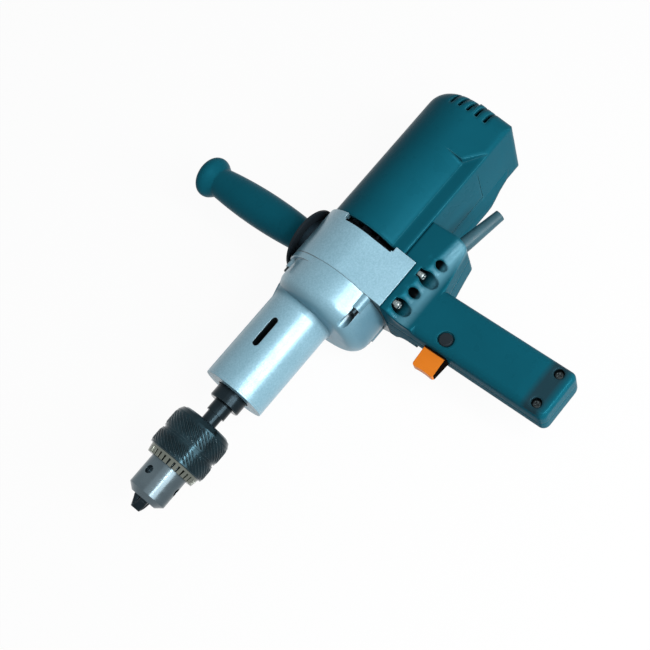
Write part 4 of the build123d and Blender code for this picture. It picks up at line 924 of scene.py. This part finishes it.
@dataclass
class FlankFoot:
    """The deep foot of the housing's flat flank, which hangs below it ahead of the rear end."""

    name: str = "housing_flank_foot"
    top: float = -20.5 * MM
    rounding: float = 1.5 * MM
    wall_back: float = 51.6 * MM
    wall_face: float = 52.75 * MM
    inner: float = 38.0 * MM
    floor: float = -39.6 * MM
    # Place along the drill, height of the lower edge and reach of the outer face, from the rear to the front.
    stations: tuple[Triple, ...] = (
        (-321.0 * MM, -33.3 * MM, 52.7 * MM),
        (-311.9 * MM, -35.9 * MM, 53.2 * MM),
        (-303.8 * MM, -38.8 * MM, 53.3 * MM),
        (-295.1 * MM, -44.6 * MM, 53.3 * MM),
        (-289.5 * MM, -47.6 * MM, 53.3 * MM),
        (-284.0 * MM, -48.2 * MM, 53.3 * MM),
        (-236.0 * MM, -48.2 * MM, 53.3 * MM),
        (-230.0 * MM, -46.0 * MM, 52.7 * MM),
    )

    def section(self, along: float, low: float, face: float) -> list[Triple]:
        """Draws the foot's outline across the drill.

        Args:
            along: Place along the drill.
            low: Height of the lower edge.
            face: Reach of the outer face.

        Returns:
            Seven corners.
        """
        below = low < self.floor
        inner = self.inner if below else self.wall_back
        floor = self.floor if below else low
        corners = (
            (self.wall_back, self.top),
            (self.wall_face, self.top),
            (face, low + self.rounding),
            (face - self.rounding, low),
            (inner, low),
            (inner, floor),
            (self.wall_back, floor),
        )
        return [(along, across, up) for across, up in corners]

    def build(self, wardrobe: Wardrobe) -> None:
        """Shapes the foot along its stations and sets it on the housing.

        Args:
            wardrobe: Where the materials are.
        """
        mesh = skinned_mesh(self.name, [self.section(*station) for station in self.stations], capped=True)
        mesh.materials.append(wardrobe.of(HOUSING_TEAL))
        plain_piece(self.name, mesh, Body.HOUSING)


@dataclass
class CrossHeads:
    """Domed screw heads with a cross recess, set on the plain heads of one kind of screw."""

    name: str
    places: list[Triple]
    axis: Triple
    finish: Finish
    slot: str
    radius: float = 4.2 * MM
    dome: float = 1.1 * MM
    dome_power: int = 4
    arm_length: float = 4.6 * MM
    arm_width: float = 1.0 * MM
    recess_floor: float = 0.06
    rings: int = 18
    spokes: int = 48
    seed: int = 7

    def height(self, share: float, x: float, y: float) -> float:
        """Finds how high the head stands, low in the cross and domed beside it.

        Args:
            share: Distance from the middle as a share of the radius.
            x: Place across the head.
            y: Place across the head, square to x.

        Returns:
            The height over the rim.
        """
        height = self.dome * math.sqrt(1 - share**self.dome_power)
        near, far = sorted((abs(x), abs(y)))
        if near < self.arm_width / 2 and far < self.arm_length / 2:
            return min(height, self.dome * self.recess_floor)
        return height

    def head(self) -> Mesh:
        """Shapes one head, its rim at zero and its dome towards +Z.

        Returns:
            A mesh whose middle is sunk to a cross.
        """
        rows = []
        for ring in range(self.rings + 1):
            share = ring / self.rings
            radius = self.radius * share
            row = []
            for spoke in range(self.spokes):
                angle = math.tau * spoke / self.spokes
                x = radius * math.cos(angle)
                y = radius * math.sin(angle)
                row.append((x, y, self.height(share, x, y)))
            rows.append(row)
        return skinned_mesh(f"{self.name}_head", rows)

    def tree(self, material: Material) -> Tree:
        """Builds the tree that sets a head on each seed point, turned to the point's axis.

        Args:
            material: What the heads are made of.

        Returns:
            A geometry tree with the inputs Pattern and Seed.
        """
        tree, given = open_tree(f"{self.name}_set", Seed="NodeSocketInt")
        axis = add_node(
            tree, "GeometryNodeInputNamedAttribute", {"Name": "axis"}, data_type="FLOAT_VECTOR"
        ).outputs["Attribute"]
        facing = add_node(tree, "FunctionNodeAlignRotationToVector", {"Vector": axis}, axis="Z").outputs[0]
        # A random number takes its limits at inputs 2 and 3 and comes out at output 1.
        stopped = add_node(
            tree, "FunctionNodeRandomValue", {2: 0.0, 3: math.tau, "Seed": given["Seed"]}, data_type="FLOAT"
        ).outputs[1]
        spin = add_node(
            tree, "FunctionNodeAxisAngleToRotation", {"Axis": (0.0, 0.0, 1.0), "Angle": stopped}
        ).outputs[0]
        turns = add_node(
            tree, "FunctionNodeRotateRotation", {0: facing, 1: spin}, rotation_space="LOCAL"
        ).outputs[0]
        close_tree(tree, given["Pattern"], given["Geometry"], turns, material)
        return tree

    def build(self, wardrobe: Wardrobe) -> None:
        """Sets the heads in their places.

        Args:
            wardrobe: Where the materials are.
        """
        seed_mesh = bpy.data.meshes.new(f"{self.name}_places")
        seed_mesh.from_pydata(self.places, [], [])
        axes = seed_mesh.attributes.new("axis", "FLOAT_VECTOR", "POINT")
        axes.data.foreach_set("vector", self.axis * len(self.places))
        tree = self.tree(wardrobe.of(self.finish))
        mesh = grown_mesh(self.name, tree, seed_mesh, self.head(), {"Seed": self.seed})
        mesh.shade_smooth()
        plain_piece(self.name, mesh, Body.HOUSING)


def screw_sets() -> list[CrossHeads]:
    """Lists the screws that show, with the places of their heads.

    Returns:
        One set for the handle's end, one for its root and one for the castings.
    """
    head = CrossHeads.radius
    end_low, end_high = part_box("handle_end_screws")
    end_y = (end_low[1] + end_high[1]) / 2
    end_places = [(x, end_y, end_high[2]) for x in (end_low[0] + head, end_high[0] - head)]
    mount_low, mount_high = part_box("handle_mount_screws")
    mount_xs = (mount_low[0] + head, mount_high[0] - head)
    mount_z = mount_high[2] - head
    mount_places = [(x, mount_high[1], side * mount_z) for x in mount_xs for side in (1, -1)]
    case_places = []
    for low, high in (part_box("long_case_screws"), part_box("short_case_screws")):
        middle_y = (low[1] + high[1]) / 2
        reach_z = high[2] - head
        case_places += [(high[0], middle_y, reach_z), (high[0], middle_y, -reach_z)]
    ahead, outward, upward = (1.0, 0.0, 0.0), (0.0, 1.0, 0.0), (0.0, 0.0, 1.0)
    return [
        CrossHeads("end_screw_heads", end_places, upward, PHOSPHATED, "zinc_screws"),
        CrossHeads("mount_screw_heads", mount_places, outward, DARKER_ZINC, "zinc_screws", dome=3.0 * MM),
        CrossHeads("case_screw_heads", case_places, ahead, BLUED, "blued_steel"),
    ]


@dataclass(frozen=True)
class Lamp:
    """A soft box that faces the middle of the drill; its size is its width along the drill and its height."""

    name: str
    place: Triple
    size: tuple[float, float]
    watts: float
    aim: Triple = (-0.12, 0.05, 0.0)

    def hang(self) -> None:
        """Hangs the lamp in its place."""
        data = bpy.data.lights.new(self.name, "AREA")
        data.shape = "RECTANGLE"
        data.size, data.size_y = self.size
        data.energy = self.watts
        lamp = placed(self.name, data)
        lamp.location = self.place
        lamp.rotation_euler = (Vector(self.aim) - Vector(self.place)).to_track_quat("-Z", "Y").to_euler()


@dataclass
class Studio:
    """Pale floor, soft light and the camera at the photograph's angle."""

    camera_place: Triple = (0.12293, 0.51653, 0.95918)
    camera_right: Triple = (-0.635907, 0.736078, -0.231859)
    camera_down: Triple = (0.745431, 0.508096, -0.431414)
    camera_ahead: Triple = (-0.199758, -0.447198, -0.871843)
    focal_px: float = 1257.43
    frame_px: float = 650.0
    sensor_mm: float = 36.0
    floor_drop: float = 0.2 * MM
    floor_reach: float = 30.0
    # How much of the floor looks plain white; the rest is paper that takes the shadow.
    floor_glow: float = 0.95
    sky_strength: float = 0.2
    lamps: tuple[Lamp, ...] = (
        Lamp("key_softbox", (-0.15, 0.5, 1.6), (1.2, 0.9), 1.8),
        Lamp("side_softbox", (-0.05, 1.44, 0.9), (0.8, 1.0), 12.0),
        Lamp("upper_softbox", (-0.36, 0.95, 1.15), (0.3, 0.42), 5.0),
        Lamp("chuck_softbox", (0.035, 0.665, 0.64), (0.08, 0.11), 0.9),
        Lamp("rear_softbox", (-0.52, 1.55, 0.75), (0.5, 0.45), 9.0),
    )

    def hang_camera(self) -> None:
        """Sets the camera."""
        data = bpy.data.cameras.new("camera")
        data.sensor_width = self.sensor_mm
        data.lens = self.focal_px / self.frame_px * self.sensor_mm
        camera = placed("camera", data)
        right = Vector(self.camera_right)
        up = -Vector(self.camera_down)
        back = -Vector(self.camera_ahead)
        turn = Matrix((right, up, back)).transposed().to_4x4()
        camera.matrix_world = Matrix.Translation(self.camera_place) @ turn
        bpy.context.scene.camera = camera

    def seen_mix(self, tree: Tree, lit: bpy.types.Node, seen: bpy.types.Node, most: float = 1.0) -> Socket:
        """Shows one shader to rays that look at the background and another to those that light the object.

        Args:
            tree: A shader tree.
            lit: What lights the object.
            seen: What camera, glossy and transmission rays meet.
            most: How much of it they meet.

        Returns:
            The mixed shader.
        """
        path = add_node(tree, "ShaderNodeLightPath").outputs
        looks = path["Is Camera Ray"]
        for kind in ("Is Glossy Ray", "Is Transmission Ray"):
            either = {0: looks, 1: path[kind]}
            looks = add_node(tree, "ShaderNodeMath", either, operation="MAXIMUM").outputs[0]
        shaders = {0: product(tree, looks, most), 1: lit.outputs[0], 2: seen.outputs[0]}
        return add_node(tree, "ShaderNodeMixShader", shaders).outputs[0]

    def lay_floor(self) -> None:
        """Lays a white floor that keeps a faint shadow."""
        low = CAD_BOX[0][2] - self.floor_drop
        reach = self.floor_reach
        mesh = bpy.data.meshes.new("floor")
        corners = [(x * reach, y * reach, low) for x, y in ((-1, -1), (1, -1), (1, 1), (-1, 1))]
        mesh.from_pydata(corners, [], [(0, 1, 2, 3)])
        floor = placed("floor", mesh)
        material = bpy.data.materials.new("white_paper_floor")
        material.use_nodes = True
        tree = material.node_tree
        tree.nodes.clear()
        paper = add_node(tree, "ShaderNodeBsdfDiffuse", {"Color": linear("#F4F5F5")})
        glow = add_node(tree, "ShaderNodeEmission", {"Color": linear("#FFFFFF"), "Strength": 1.0})
        mixed = self.seen_mix(tree, paper, glow, self.floor_glow)
        add_node(tree, "ShaderNodeOutputMaterial", {"Surface": mixed})
        mesh.materials.append(material)

    def fill_world(self) -> None:
        """Makes the surroundings white to look at and softly lit."""
        world = bpy.data.worlds.new("studio")
        bpy.context.scene.world = world
        world.use_nodes = True
        tree = world.node_tree
        tree.nodes.clear()
        white = add_node(tree, "ShaderNodeBackground", {"Color": linear("#FFFFFF"), "Strength": 1.0})
        sky = {"Color": linear("#E9F1F4"), "Strength": self.sky_strength}
        soft = add_node(tree, "ShaderNodeBackground", sky)
        add_node(tree, "ShaderNodeOutputWorld", {"Surface": self.seen_mix(tree, soft, white)})

    def build(self) -> None:
        """Sets up everything round the object."""
        self.hang_camera()
        self.lay_floor()
        self.fill_world()
        for lamp in self.lamps:
            lamp.hang()
        bpy.context.scene.view_settings.view_transform = "Standard"


def main() -> None:
    """Dresses the solids, adds the fine pieces and sets up the studio."""
    logging.basicConfig(level=logging.INFO, format="%(name)s: %(message)s")
    wardrobe = Wardrobe()
    wardrobe.dress_solids()
    ChuckSleeve().build(wardrobe)
    NoseRim().build(wardrobe)
    FlankFoot().build(wardrobe)
    for heads in screw_sets():
        heads.build(wardrobe)
    Studio().build()


if __name__ == "__main__":
    main()
